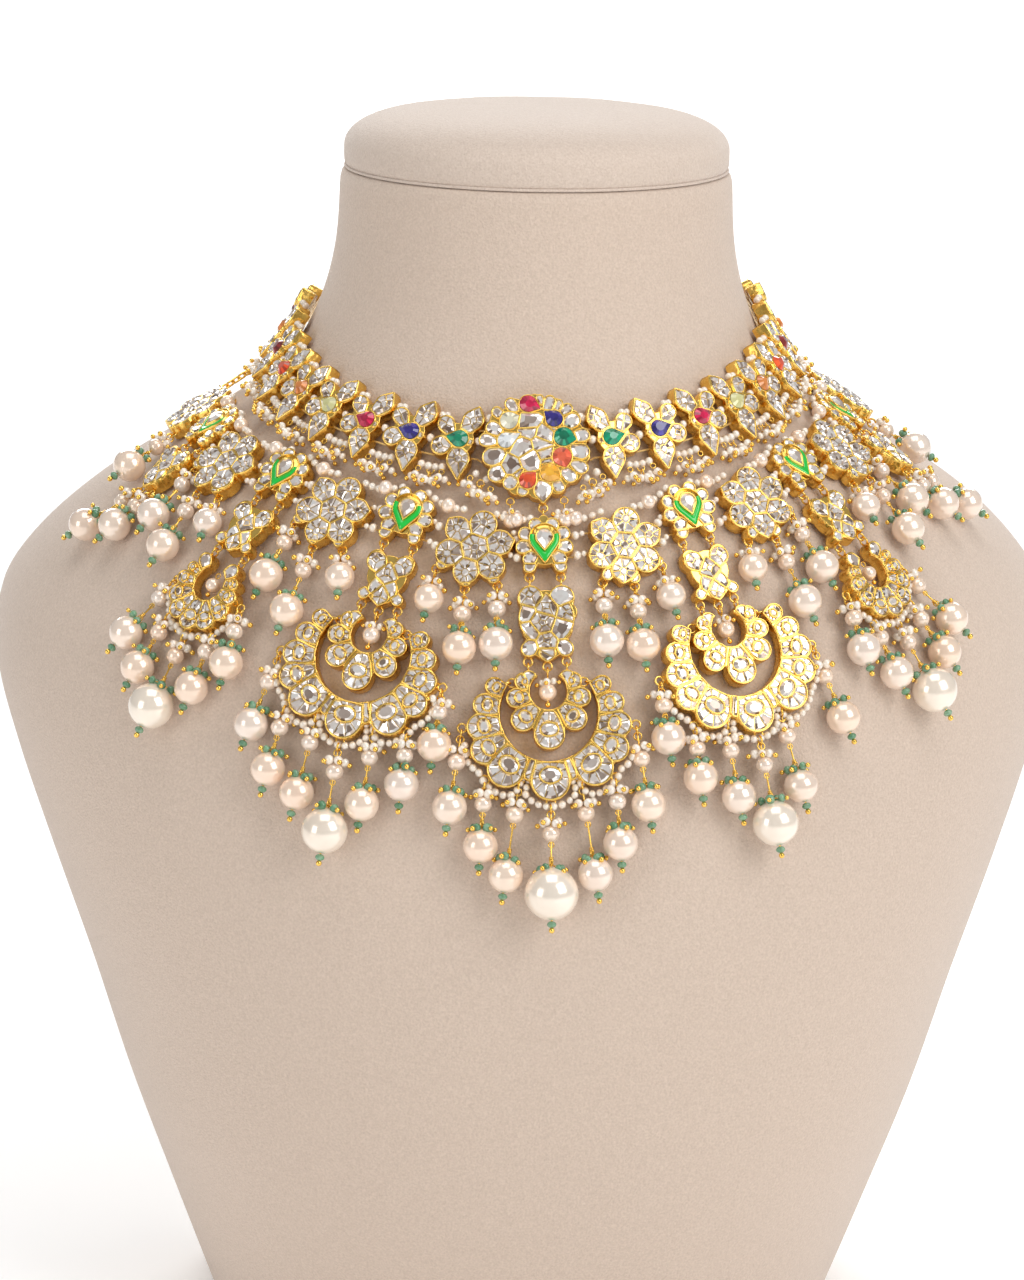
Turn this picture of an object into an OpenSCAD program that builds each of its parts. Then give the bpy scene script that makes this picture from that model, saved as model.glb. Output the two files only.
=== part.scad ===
// Kundan necklace on a neck bust: a choker of gem-set links, a second row of flowers and rosettes
// hung with chandbalis (crescent pendants), and pearl drops, laid on a plain fabric-covered bust.
// Millimetres. The bust stands on its flat base at z = 0, faces -Y, and +Z is up.
// A place on the bust is u = [turn from the front in degrees, height]; right of the wearer's
// photo is +X, and `side` is 1 on the right and -1 on the left.

/* [Neck bust] */
// Height from the base to the top of the neck
bust_h = 346; // [260:1:460]
// Width across the shoulders
shoulder_w = 320; // [260:1:400]
// Diameter of the neck
neck_d = 114; // [90:1:140]
// Reach of the chest in front of its section centre
chest_reach = 145; // [110:1:180]
// Reach of the back behind its section centre
back_reach = 31; // [22:1:44]
// Rise of the padded cap above its edge
cap_rise = 12; // [4:0.5:24]
// Thickness of the cap's edge
cap_edge = 6; // [3:0.5:12]

/* [Choker] */
// Height of the choker's middle line at the front
choker_z = 276; // [230:0.5:300]
// How much higher the choker lies at the back
choker_rise = 40; // [10:1:60]
// Spacing of the links along the neck
link_pitch = 13.8; // [13.7:0.1:16]
// Height of a link
link_h = 23; // [18:0.5:27]
// Diameter of the centre plaque
centre_d = 31; // [26:0.5:36]

/* [Second row] */
// Height of the second row's line at the front
row_z = 252; // [225:0.5:262]
// How much the second row climbs from the front to the side
row_rise = 26; // [10:1:34]
// Spacing of the second row's plaques
row_pitch = 20; // [19.8:0.1:24]
// Diameter of a rosette
rosette_d = 22; // [17:0.5:23]
// Diameter of a flower
flower_d = 16.5; // [13:0.5:17]
// How far a rosette hangs below the row's line
rosette_drop = 5; // [0:0.5:9]

/* [Pendants] */
// Width of a large chandbali
chandbali_w = 46; // [36:1:50]
// Width of a single crescent
crescent_w = 24; // [20:0.5:28]
// Height of the centre connector
paisley_h = 22; // [18:0.5:26]
// Height of a side connector
trefoil_h = 16.5; // [13:0.5:20]

/* [Gold] */
// Thickness of a plaque from back to face
plate_t = 4.4; // [3.6:0.1:6]
// Depth of the stone pockets
pocket = 0.9; // [0.5:0.1:1.2]
// Radius of a ring, to the middle of its wire
ring_r = 1.2; // [1:0.05:1.6]
// Diameter of the wire of rings and drops
wire_d = 0.6; // [0.4:0.05:0.7]
// Diameter of the straight pin of a pearl drop
pin_d = 0.5; // [0.3:0.05:0.6]
// Diameter of the tail chains behind the neck
chain_d = 2.4; // [1.6:0.1:4]
// Diameter of the threads through the plaques
thread_d = 0.6; // [0.4:0.05:0.8]

/* [Pearls] */
// Diameter of the centre drop's big pearl
centre_pearl_d = 14.8; // [11:0.1:17]
// Diameter of the other big pearls
big_pearl_d = 12.8; // [10:0.1:15]
// Diameter of a drop's large pearl
pearl_d = 9.6; // [7:0.1:11]
// Diameter of the pearl on a short drop
short_pearl_d = 8.4; // [6:0.1:9.5]
// Diameter of a drop's small pearl
small_pearl_d = 5.0; // [3.5:0.1:6.2]
// Diameter of the gold ball that ends a drop
ball_d = 1.6; // [1:0.1:2.4]

/* [Clearances] */
// Gap between the bust and what lies on it
lie_gap = 0.3; // [0.1:0.05:0.6]
// Gap between parts that hang, slide or sit in each other
loose_gap = 0.2; // [0.1:0.05:0.3]

/* [Hidden] */
$fn = 48;
eps = 0.01;
neck_r = neck_d / 2;

// Bust sections. Columns: height as a share of bust_h; width from neck (0) to shoulders (1);
// centre set back as a share of the neck radius; front reach from neck (0) to chest (1);
// back reach from neck (0) to back (1); squareness of the section.
SECTIONS = [
    [0.000, 0.380, 0.300, 0.550, 1.03, 2.30],
    [0.115, 0.515, 0.320, 0.740, 1.00, 2.30],
    [0.215, 0.630, 0.330, 0.875, 1.00, 2.30],
    [0.320, 0.740, 0.350, 0.965, 1.00, 2.25],
    [0.420, 0.855, 0.370, 1.000, 1.00, 2.20],
    [0.505, 0.950, 0.400, 0.975, 1.00, 2.15],
    [0.570, 1.000, 0.385, 0.885, 0.96, 2.10],
    [0.630, 0.980, 0.350, 0.770, 0.92, 2.05],
    [0.675, 0.885, 0.300, 0.650, 0.81, 1.95],
    [0.725, 0.710, 0.210, 0.490, 0.58, 1.90],
    [0.770, 0.485, 0.140, 0.340, 0.31, 1.90],
    [0.805, 0.280, 0.090, 0.220, 0.15, 1.95],
    [0.845, 0.135, 0.035, 0.115, 0.04, 2.00],
    [0.885, 0.060, 0.018, 0.050, -0.04, 2.00],
    [0.935, 0.015, 0.000, 0.010, -0.04, 2.00],
    [1.000, 0.000, 0.000, 0.000, 0.00, 2.00],
];
SECT = [for (r = SECTIONS) [
    r[0] * bust_h,
    neck_r + r[1] * (shoulder_w / 2 - neck_r),
    r[2] * neck_r,
    neck_r + r[3] * (chest_reach - neck_r),
    neck_r + r[4] * (back_reach - neck_r),
    r[5]]];
SECT_LAST = len(SECT) - 1;
SLOPE = [for (i = [0 : SECT_LAST])
    let (a = SECT[max(i - 1, 0)], b = SECT[min(i + 1, SECT_LAST)]) (b - a) / (b[0] - a[0])];

// The section at a height, eased between the table's rows
function section(z) =
    let (zc = min(max(z, 0), bust_h),
         i = min(len([for (r = SECT) if (r[0] <= zc) 1]) - 1, SECT_LAST - 1),
         h = SECT[i + 1][0] - SECT[i][0], t = (zc - SECT[i][0]) / h)
    (2 * t ^ 3 - 3 * t ^ 2 + 1) * SECT[i] + (t ^ 3 - 2 * t ^ 2 + t) * h * SLOPE[i]
    + (3 * t ^ 2 - 2 * t ^ 3) * SECT[i + 1] + (t ^ 3 - t ^ 2) * h * SLOPE[i + 1];

// Point on the bust at u = [turn, height]
function at(u) =
    let (s = section(u[1]), x = sin(u[0]), c = cos(u[0]), b = c > 0 ? s[3] : s[4],
         r = (abs(x / s[1]) ^ s[5] + abs(c / b) ^ s[5]) ^ (-1 / s[5]))
    [r * x, s[2] - r * c, u[1]];
function unit(v) = v / norm(v);
function d_turn(u) = (at(u + [1, 0]) - at(u - [1, 0])) / 2;
function d_rise(u) = (at(u + [0, 1]) - at(u - [0, 1])) / 2;
function normal(u) = unit(cross(d_turn(u), d_rise(u)));
// A nearby place, x to the right and y up along the bust
function beside(u, x, y) = [u[0] + x / norm(d_turn(u)), u[1] + y / norm(d_rise(u))];
// A place a length further down, leaning to the outside
function down(u, side, len, lean = 0, n = 3) =
    n == 0 ? u
    : down(beside(u, side * len / n * sin(lean), -len / n * cos(lean)),
           side, len * (n - 1) / n, lean, n - 1);

// Frame of a plaque at u, w wide and h high: [right, up, out, origin on its back]
function seat(u, w, h) =
    let (c = at(u), r = at(beside(u, w / 2, 0)), l = at(beside(u, -w / 2, 0)),
         t = at(beside(u, 0, h / 2)), b = at(beside(u, 0, -h / 2)),
         n = unit(cross(r - l, t - b)), up = unit(t - b), right = cross(up, n),
         bulge = [for (k = [0 : 30 : 330])
             (at(beside(u, w / 2 * cos(k), h / 2 * sin(k))) - c) * n])
    [right, up, n, c + n * (max(0, max(bulge)) + lie_gap)];
function world(f, p) = f[3] + f[0] * p[0] + f[1] * p[1] + f[2] * p[2];

// The necklace was laid by hand: its left side lies this much lower than the middle
lie_skew = 2;
// and its front lies this many degrees to the left
lie_turn = 2.5;
// The two rows as lines round the bust, each with a table of [length from the front, turn]
function choker_at(a) =
    [a - lie_turn * max(0, cos(a)), choker_z + choker_rise * (1 - cos(a)) / 2 + lie_skew * sin(a)];
function row_at(a) = [a, row_z + row_rise * abs(a) / 90 + lie_skew * sin(a)];
function line_lengths(points) =
    [for (i = 0, s = 0; i < len(points); s = s + norm(points[min(i + 1, len(points) - 1)] - points[i]),
          i = i + 1) [s, 3 * i]];
CHOKER_LINES = [for (side = [-1, 1]) line_lengths([for (a = [0 : 3 : 180]) at(choker_at(side * a))])];
ROW_LINES = [for (side = [-1, 1]) line_lengths([for (a = [0 : 3 : 150]) at(row_at(side * a))])];
// Tables are by side (0 left, 1 right)
function side_no(side) = side < 0 ? 0 : 1;
link_first = centre_d / 2 + link_pitch * 0.42;
function link_turn(side, i) = lookup(link_first + (i - 1) * link_pitch, CHOKER_LINES[side_no(side)]);
function plaque_turn(side, j) = lookup(j * row_pitch, ROW_LINES[side_no(side)]);

// Rings. Soldered rings lie in the plaque's plane, and what hangs in one has its ring across it.
ring_z = plate_t * 0.42;
nip = ring_r - wire_d - loose_gap;
lug_out = ring_r * 0.3;

// The place on the bust under a point
function turn_of(p) = atan2(p[0], section(p[2])[2] - p[1]);
function under(p) =
    let (u = [turn_of(p), p[2]], q = p - normal(u) * ((p - at(u)) * normal(u)))
    [turn_of(q), q[2]];

// Seat of a piece w wide that hangs by two rings in the rings of piece f: y is where f's rings
// are, top where its own are, len its length below them. It turns about the rings until it lies.
function hang(f, y, top, len, w, side, lean = 0, x = 0) =
    let (hinge = world(f, [x, y - ring_r, ring_z]), right = f[0], u = under(hinge),
         foot = at(down(u, side, len, lean)),
         v = hinge - foot, up = unit(v - right * (v * right)), out = cross(right, up),
         lift = [for (s = [0.3 : 0.175 : 1]) let (v = down(u, side, len * s, lean))
             for (x = [-0.5, 0, 0.5])
             ((at(beside(v, w * x, 0)) - hinge) * out + ring_z + lie_gap) / s],
         v2 = up * len - out * max(lift),
         up2 = unit(v2), out2 = cross(right, up2))
    [right, up2, out2, hinge - up2 * (nip + top) - out2 * ring_z];

// Seats of the gold pieces, numbered from the front outwards
plaques = 7;
link_n = 9;
centre_tip = -centre_d * 0.545;
bail_x = centre_d * 0.05;
centre_seat = rolled(seat(choker_at(0), centre_d, centre_d), lie_turn);
// Seats are worked out once, in tables by side and number
// A link follows the slope of the choker's line
function sloped(f, a) =
    let (d = at(choker_at(a + 3)) - at(choker_at(a - 3))) rolled(f, atan2(d * f[1], d * f[0]));
LINK_SEATS = [for (side = [-1, 1]) [for (i = [1 : link_n])
    let (a = side * link_turn(side, i)) sloped(seat(choker_at(a), link_h * 0.6, link_h), a)]];
function link_seat(side, i) = LINK_SEATS[side_no(side)][i - 1];
function is_flower(j) = j % 2 == 0;
flower_top = flower_d * 0.53 + ring_r * 0.7;
flower_0_seat = hang(centre_seat, centre_tip - lug_out, flower_top, flower_top + flower_d / 2,
                     flower_d, 1, 0, bail_x);
function plaque_place(side, j) =
    is_flower(j) ? row_at(side * plaque_turn(side, j))
    : down(row_at(side * plaque_turn(side, j)), side, rosette_drop);
function rolled(f, a) = [f[0] * cos(a) + f[1] * sin(a), f[1] * cos(a) - f[0] * sin(a), f[2], f[3]];
// Turns of flowers 4 and 6 in their plane, towards the front
lean_4 = -3;
lean_6 = -13;
PLAQUE_SEATS = [for (side = [-1, 1]) [for (j = [0 : plaques])
    let (d = is_flower(j) ? flower_d : rosette_d)
    j == 0 ? flower_0_seat
    : rolled(seat(plaque_place(side, j), d, d),
             side * (j == 6 ? lean_6 : j == 4 ? lean_4 : 0))]];
function plaque_seat(side, j) = PLAQUE_SEATS[side_no(side)][j];

// The columns under flowers 0, 2, 4 and 6: a connector, then a chandbali or a crescent
ear_x = flower_d * 0.26;
ear_y = -flower_d * 0.52;
foot_x = crescent_w * 0.22;
function connector_h(k) = k == 0 ? paisley_h : trefoil_h;
function connector_top(k) = connector_h(k) / 2 + ring_r * 0.7;
function connector_foot(k) = -connector_h(k) * 0.44;
CONNECTOR_SEATS = [for (side = [-1, 1]) [for (k = [0 : 3])
    hang(plaque_seat(side, 2 * k), ear_y - lug_out, connector_top(k),
         connector_top(k) + connector_h(k) / 2, connector_h(k) * 0.74, side)]];
function connector_seat(side, k) = CONNECTOR_SEATS[side_no(side)][k];
// A pendant's origin is the centre of its outer circle, or of a single crescent
function pendant_top(k) = (k < 2 ? chandbali_w * 0.335 : crescent_w * 0.46) + ring_r * 0.7;
PENDANT_SEATS = [for (side = [-1, 1]) [for (k = [0 : 2])
    let (w = k < 2 ? chandbali_w : crescent_w)
    hang(connector_seat(side, k), connector_foot(k) - lug_out, pendant_top(k),
         pendant_top(k) + w / 2, w, side)]];
function pendant_seat(side, k) = PENDANT_SEATS[side_no(side)][k];

// Drops. Columns: host; first and last number of that host; place of its ring as shares of the
// host's size, outwards and up; length down to the small pearl, 0 for none, and to the large
// pearl; kind of large pearl (0 short, 1 large, 2 big, 3 small); lean outwards; 1 for a drop that
// only the left side has. Numbers of host: 1 rosette, 2 connector, 3 chandbali, 4 crescent.
DROPS = [
    [1, 1, 1, -0.34, -0.43, 6.8, 17.0, 1, -3, 0],
    [1, 1, 1, 0.06, -0.52, 7.4, 17.4, 1, -3, 0],
    [1, 1, 1, 0.45, -0.30, 0, 9.2, 0, 0, 0],
    [1, 3, 3, -0.34, -0.43, 0, 8.4, 0, -20, 0],
    [1, 3, 3, 0.06, -0.52, 7.4, 20.0, 1, -7, 0],
    [1, 3, 3, 0.45, -0.30, 6.6, 17.6, 1, -6, 0],
    [1, 5, 5, -0.34, -0.43, 0, 9.2, 0, -28, 0],
    [1, 5, 5, 0.06, -0.52, 7.4, 20.0, 1, -20, 0],
    [1, 5, 5, 0.45, -0.30, 6.6, 19.2, 1, -16, 0],
    [1, 7, 7, -0.34, -0.43, 6.8, 17.0, 1, -24, 0],
    [2, 3, 3, -0.16, -0.48, 6.0, 13.8, 1, -5, 0],
    [2, 3, 3, 0.20, -0.48, 7.2, 20.0, 1, 12, 0],
    [2, 0, 1, 0, -0.52, 0, 7.2, 3, 0, 0],
    [3, 0, 1, 0.515, 0.00, 9.4, 22.0, 1, 4, 0],
    [3, 1, 1, 0.387, -0.311, 6.6, 18.4, 1, 2, 1],
    [3, 0, 0, 0.387, -0.311, 6.6, 18.0, 1, 1, 0],
    [3, 1, 1, 0.182, -0.318, 8.4, 22.6, 1, 3, 0],
    [3, 0, 0, 0.182, -0.318, 9.4, 26.0, 1, 7, 0],
    [3, 0, 1, 0, -0.455, 8.4, 24.6, 2, 0, 0],
    [3, 1, 1, -0.182, -0.318, 8.6, 21.4, 1, 1, 0],
    [3, 1, 1, -0.387, -0.311, 6.2, 14.2, 1, 0, 0],
    [3, 1, 1, -0.515, 0.00, 6.8, 15.8, 1, 2, 0],
    [4, 2, 2, 0.53, 0.02, 7.2, 20.6, 1, 10, 0],
    [4, 2, 2, 0.36, -0.36, 6.6, 18.0, 1, 1, 0],
    [4, 2, 2, 0, -0.50, 7.2, 22.6, 2, 1, 0],
    [4, 2, 2, -0.36, -0.36, 5.8, 16.6, 1, -1, 0],
    [4, 2, 2, -0.53, 0.02, 6.8, 16.0, 1, -11, 0],
];
function host_seat(d, side, j) =
    d[0] == 1 ? plaque_seat(side, j)
    : d[0] == 2 ? connector_seat(side, j) : pendant_seat(side, j);
function host_size(d, j) =
    d[0] == 1 ? rosette_d : d[0] == 2 ? connector_h(j)
    : d[0] == 3 ? chandbali_w : crescent_w;
function pearl_size(d, j) =
    d[7] == 0 ? short_pearl_d : d[7] == 1 ? pearl_d : d[7] == 3 ? small_pearl_d
    : j == 0 ? centre_pearl_d : big_pearl_d;
// A middle host carries the drops of both its halves; one on its middle line is counted once
function has_drop(d, side, j) =
    j >= d[1] && j <= d[2] && !(d[9] == 1 && side > 0) && !(j == 0 && d[3] == 0 && side < 0)
    && !(j == 0 && d[3] < 0);
// One drop: [ring it hangs in, direction down, axis across the eye, length to the small pearl,
// length to the large pearl, its diameter]. Lengths run from the middle of the eye.
function drop(d, side, j) =
    let (f = host_seat(d, side, j), s = host_size(d, j), size = pearl_size(d, j),
         a = world(f, [side * d[3] * s, d[4] * s, ring_z]), u = down(under(a), side, d[6], d[8]),
         down_way = unit(at(u) + normal(u) * (size / 2 + lie_gap) - a),
         flat = unit(down_way - f[2] * (down_way * f[2])))
    [a + flat * ring_r + down_way * nip, down_way, unit(cross(down_way, f[2])),
     d[5] > 0 ? d[5] - ring_r - nip : 0, d[6] - ring_r - nip, size];
ALL_DROPS = [for (d = DROPS, j = [d[1] : d[2]], side = [-1, 1]) if (has_drop(d, side, j))
    drop(d, side, j)];

// Shapes
module place(f) {
    multmatrix([
        [f[0][0], f[1][0], f[2][0], f[3][0]],
        [f[0][1], f[1][1], f[2][1], f[3][1]],
        [f[0][2], f[1][2], f[2][2], f[3][2]],
        [0, 0, 0, 1]]) children();
}
function frame_along(p, way, ref) =
    let (x = unit(cross(ref, way))) [x, cross(way, x), way, p];
module disc(x, y, r) { translate([x, y, 0]) cylinder(h = plate_t, r = r); }
// A round petal drawn out to a point
module leaf(x, y, r, tip_x, tip_y) {
    way = atan2(tip_y - y, tip_x - x);
    a = acos(r * 0.96 / norm([tip_x - x, tip_y - y]));
    disc(x, y, r);
    linear_extrude(plate_t) polygon([
        [x, y],
        [x + r * 0.96 * cos(way - a), y + r * 0.96 * sin(way - a)],
        [tip_x, tip_y],
        [x + r * 0.96 * cos(way + a), y + r * 0.96 * sin(way + a)]]);
}
module ring_shape() { rotate_extrude($fn = 24) translate([ring_r, 0]) circle(d = wire_d, $fn = 16); }
module lug(x, y) { translate([x, y, ring_z]) ring_shape(); }
module cross_ring(x, y) { translate([x, y, ring_z]) rotate([0, 90, 0]) ring_shape(); }
module side_ring(x, y) { translate([x, y, ring_z]) rotate([90, 0, 0]) ring_shape(); }
module channel(y, w) {
    translate([-w, y, plate_t * 0.3]) rotate([0, 90, 0])
        cylinder(h = 2 * w, d = 2 * thread_d + 2 * loose_gap, $fn = 24);
}
// Outlines of stones, as lists of points: an oval, and a pear with its tip towards +X
function oval(l, w, n = 10) = [for (i = [0 : n - 1]) let (a = 360 * i / n)
    [l / 2 * cos(a), w / 2 * sin(a)]];
function pear(l, w, n = 10) = [for (i = [0 : n - 1]) let (a = 360 * i / n)
    [l / 2 * cos(a), w / 2 * sin(a) * (1 - 0.4 * cos(a))]];
// Stones. Columns: x, y, length, width, turn of the length, 1 for a pear.
module stone(s, grow, low, high, table = 0.6) {
    o = s[5] == 1 ? pear(s[2] + grow, s[3] + grow) : oval(s[2] + grow, s[3] + grow);
    n = len(o);
    girdle = low + (high - low) * 0.55;
    translate([s[0], s[1], 0]) rotate([0, 0, s[4]]) polyhedron(
        concat([for (p = o) [p[0], p[1], low]], [for (p = o) [p[0], p[1], girdle]],
               [for (p = o) [p[0] * table, p[1] * table, high]]),
        concat([[for (i = [0 : n - 1]) i]], [[for (i = [n - 1 : -1 : 0]) 2 * n + i]],
               [for (k = [0, n], i = [0 : n - 1])
                   [k + i, k + n + i, k + n + (i + 1) % n, k + (i + 1) % n]]));
}
module stone_pocket(s) {
    o = s[5] == 1 ? pear(s[2], s[3]) : oval(s[2], s[3]);
    translate([s[0], s[1], plate_t - pocket]) rotate([0, 0, s[4]])
        linear_extrude(pocket + eps) polygon(o);
}
module stones(list) {
    for (s = list) stone(s, -2 * loose_gap, plate_t - pocket + loose_gap / 2, plate_t + pocket * 0.9);
}
module pockets(list) { for (s = list) stone_pocket(s); }

// A tube of constant width along points, with an outward direction at each
module tube(points, outs, d, sides = 8) {
    n = len(points);
    ways = [for (i = [0 : n - 2]) unit(points[i + 1] - points[i])];
    rings = [for (i = [0 : n - 1])
        let (t = unit(ways[min(i, n - 2)] + ways[max(i - 1, 0)]),
             x = unit(cross(t, outs[i])), y = cross(t, x))
        for (a = [0 : 360 / sides : 359]) points[i] + d / 2 * (x * cos(a) + y * sin(a))];
    polyhedron(rings, concat(
        [[for (k = [0 : sides - 1]) k]], [[for (k = [sides - 1 : -1 : 0]) (n - 1) * sides + k]],
        [for (i = [0 : n - 2], k = [0 : sides - 1])
            [i * sides + k, (i + 1) * sides + k, (i + 1) * sides + (k + 1) % sides,
             i * sides + (k + 1) % sides]]));
}

// Bust
BUST_ROWS = concat([for (s = [0 : 0.055 : 0.52]) s], [for (s = [0.55 : 0.014 : 0.93]) s], [0.96, 1]);
BUST_SIDES = 72;
module bust() {
    n = BUST_SIDES;
    m = len(BUST_ROWS);
    color([0.80, 0.74, 0.66]) polyhedron(
        [for (s = BUST_ROWS, k = [0 : n - 1]) at([360 * k / n, s * bust_h])],
        concat([[for (k = [0 : n - 1]) k]], [[for (k = [n - 1 : -1 : 0]) (m - 1) * n + k]],
               [for (i = [0 : m - 2], k = [0 : n - 1])
                   [i * n + k, (i + 1) * n + k, (i + 1) * n + (k + 1) % n, i * n + (k + 1) % n]]));
}
// The cap is a padded slab whose edge rounds over into a nearly flat top
module bust_cap() {
    r = neck_r * 0.985;
    color([0.84, 0.78, 0.70]) translate([0, 0, bust_h]) rotate_extrude($fn = 96) polygon(concat(
        [[0, 0], [r, 0]],
        [for (a = [0 : 10 : 80]) [r * cos(a) ^ 0.5, cap_edge + cap_rise * sin(a) ^ 0.9]],
        [[0, cap_edge + cap_rise]]));
}

// Centre plaque. Columns of its coloured stones: x, y, length, width, turn, 1 for a pear; all as
// shares of the plaque's size but the turn.
function scaled(list, k) = [for (s = list) [s[0] * k, s[1] * k, s[2] * k, s[3] * k, s[4], s[5]]];
CENTRE_STONES = scaled([
    [-0.035, 0.395, 0.19, 0.15, 90, 0],
    [0.165, 0.265, 0.19, 0.14, 135, 1],
    [0.270, 0.080, 0.19, 0.15, 90, 0],
    [0.235, -0.110, 0.19, 0.16, 0, 0],
    [0.130, -0.270, 0.19, 0.17, 0, 0],
    [-0.075, -0.320, 0.17, 0.16, 0, 0],
    [-0.235, 0.070, 0.24, 0.15, 70, 0],
    [-0.225, 0.250, 0.16, 0.16, 0, 0],
], centre_d);
module centre_plaque() {
    color([0.83, 0.62, 0.22]) place(centre_seat) union() {
        difference() {
            union() {
                disc(0, 0, centre_d * 0.46);
                for (k = [0 : 13]) disc(centre_d * 0.41 * cos(k * 360 / 14 + 13),
                    centre_d * 0.41 * sin(k * 360 / 14 + 13), centre_d * 0.09);
                leaf(bail_x, -centre_d * 0.41, centre_d * 0.09, bail_x, centre_tip);
            }
            pockets(CENTRE_STONES);
            channel(choker_upper, centre_d);
            channel(choker_lower, centre_d);
        }
        lug(bail_x, centre_tip - lug_out);
    }
}
module centre_gems() { color([0.62, 0.10, 0.16]) place(centre_seat) stones(CENTRE_STONES); }

// Links of the choker, as shares of the link's height; x runs outwards
choker_upper = link_h * 0.24;
choker_lower = -link_h * 0.15;
LINK_STONE = scaled([[-0.045, 0.045, 0.30, 0.20, 0, 1]], link_h);
link_w = link_h * 0.65;
module link(side, i) {
    h = link_h;
    color([0.83, 0.62, 0.22]) place(link_seat(side, i)) union() {
        difference() {
            mirror([side < 0 ? 1 : 0, 0, 0]) union() {
                disc(0, h * 0.04, h * 0.22);
                leaf(-h * 0.16, h * 0.30, h * 0.145, -h * 0.22, h * 0.50);
                disc(h * 0.16, h * 0.22, h * 0.12);
                disc(h * 0.18, -h * 0.06, h * 0.135);
                leaf(-h * 0.06, -h * 0.21, h * 0.155, -h * 0.10, -h * 0.50);
            }
            mirror([side < 0 ? 1 : 0, 0, 0]) pockets(LINK_STONE);
            channel(choker_upper, link_h);
            channel(choker_lower, link_h);
        }
        if (i == link_n) {
            lug(side * (h * 0.315 + lug_out), -h * 0.06);
            lug(-side * h * 0.10, -h * 0.50 - lug_out);
        }
    }
}
module link_gems() {
    color([0.10, 0.35, 0.22]) for (side = [-1, 1], i = [1 : link_n]) place(link_seat(side, i))
        mirror([side < 0 ? 1 : 0, 0, 0]) stones(LINK_STONE);
}

// Second row
row_upper = flower_d * 0.01;
row_lower = -flower_d * 0.34;
// How much higher the threads run in a plaque than in a flower of the row: the centre flower
// hangs a little lower than the row's line
function row_lift(j) = j == 0 ? flower_d * 0.15 : is_flower(j) ? 0 : rosette_drop;
FLOWER_STONE = scaled([[0, 0.10, 0.36, 0.30, -90, 1]], flower_d);
FLOWER_ANGLES = [112, 68, 150, 30, 188, -8, 226, -46];
module flower(side, j) {
    d = flower_d;
    color([0.83, 0.62, 0.22]) place(plaque_seat(side, j)) union() {
        difference() {
            union() {
                disc(0, 0, d * 0.38);
                for (a = FLOWER_ANGLES) disc(d * 0.365 * cos(a), d * 0.365 * sin(a), d * 0.135);
                for (x = [-1, 1]) disc(x * ear_x, ear_y + d * 0.12, d * 0.12);
                if (j == 0) disc(0, flower_top - ring_r * 0.7 - d * 0.10, d * 0.10);
            }
            pockets(FLOWER_STONE);
            channel(row_upper + row_lift(j), d);
            channel(row_lower + row_lift(j), d);
        }
        for (x = [-1, 1]) lug(x * ear_x, ear_y - lug_out);
        if (j == 0) cross_ring(0, flower_top);
    }
}
module rosette(side, j) {
    d = rosette_d;
    color([0.83, 0.62, 0.22]) place(plaque_seat(side, j)) union() {
        difference() {
            union() {
                disc(0, 0, d * 0.36);
                for (k = [0 : 2]) {
                    disc(d * 0.33 * cos(k * 120 + 78), d * 0.33 * sin(k * 120 + 78), d * 0.17);
                    leaf(d * 0.33 * cos(k * 120 + 18), d * 0.33 * sin(k * 120 + 18), d * 0.155,
                         d * 0.53 * cos(k * 120 + 18), d * 0.53 * sin(k * 120 + 18));
                }
                for (row = DROPS) if (row[0] == 1 && row[1] == j)
                    disc(side * row[3] * d * 0.84, row[4] * d * 0.84, d * 0.085);
                if (j == plaques) disc(side * d * 0.43, d * 0.10, d * 0.085);
            }
            channel(row_upper + row_lift(j), d);
            channel(row_lower + row_lift(j), d);
        }
        for (row = DROPS) if (row[0] == 1 && row[1] == j) lug(side * row[3] * d, row[4] * d);
        if (j == plaques) lug(side * (d * 0.5 + lug_out), d * 0.10);
    }
}

// Connectors between a flower and its pendant
module connector(side, k) {
    h = connector_h(k);
    color([0.83, 0.62, 0.22]) place(connector_seat(side, k)) union() {
        for (x = [-1, 1]) {
            disc(x * ear_x, h / 2 - h * 0.17, h * 0.17);
            cross_ring(x * ear_x, connector_top(k));
            if (k < 3) {
                disc(x * foot_x, connector_foot(k) + h * 0.13, h * 0.13);
                lug(x * foot_x, connector_foot(k) - lug_out);
            }
        }
        disc(0, h * 0.08, h * 0.36);
        disc(0, -h * 0.18, h * 0.27);
        leaf(0, -h * 0.30, h * 0.17, 0, -h * 0.50);
        for (row = DROPS) if (row[0] == 2 && has_drop(row, side, k))
            lug(side * row[3] * h, row[4] * h);
    }
}

// Pendants. Columns of the scallops of half a crescent: turn from the right, distance of the
// scallop's centre and its radius, as shares of the width.
OUTER = [[-90, 0.330, 0.120], [-40, 0.378, 0.112], [-20, 0.407, 0.092], [0, 0.409, 0.085],
         [19, 0.404, 0.072], [37, 0.400, 0.060]];
INNER = [[-90, 0.052, 0.098], [14, 0.159, 0.078], [41, 0.254, 0.065], [61, 0.304, 0.058]];
SINGLE = [[-90, 0.34, 0.145], [-52, 0.36, 0.135], [-20, 0.37, 0.125], [10, 0.38, 0.105],
          [34, 0.40, 0.08]];
module crescent(rows, w, body_r, body_y, void_r, void_y, cut_y) {
    for (s = rows, x = [-1, 1]) if (s[0] > -90 || x > 0)
        disc(x * w * s[1] * cos(s[0]), w * s[1] * sin(s[0]), w * s[2]);
    difference() {
        disc(0, w * body_y, w * body_r);
        translate([0, w * void_y, -1]) cylinder(h = plate_t + 2, r = w * void_r);
        translate([-w, w * cut_y, -1]) cube([2 * w, w, plate_t + 2]);
    }
}
horn_x = chandbali_w * 0.213;
horn_y = chandbali_w * 0.262;
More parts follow.
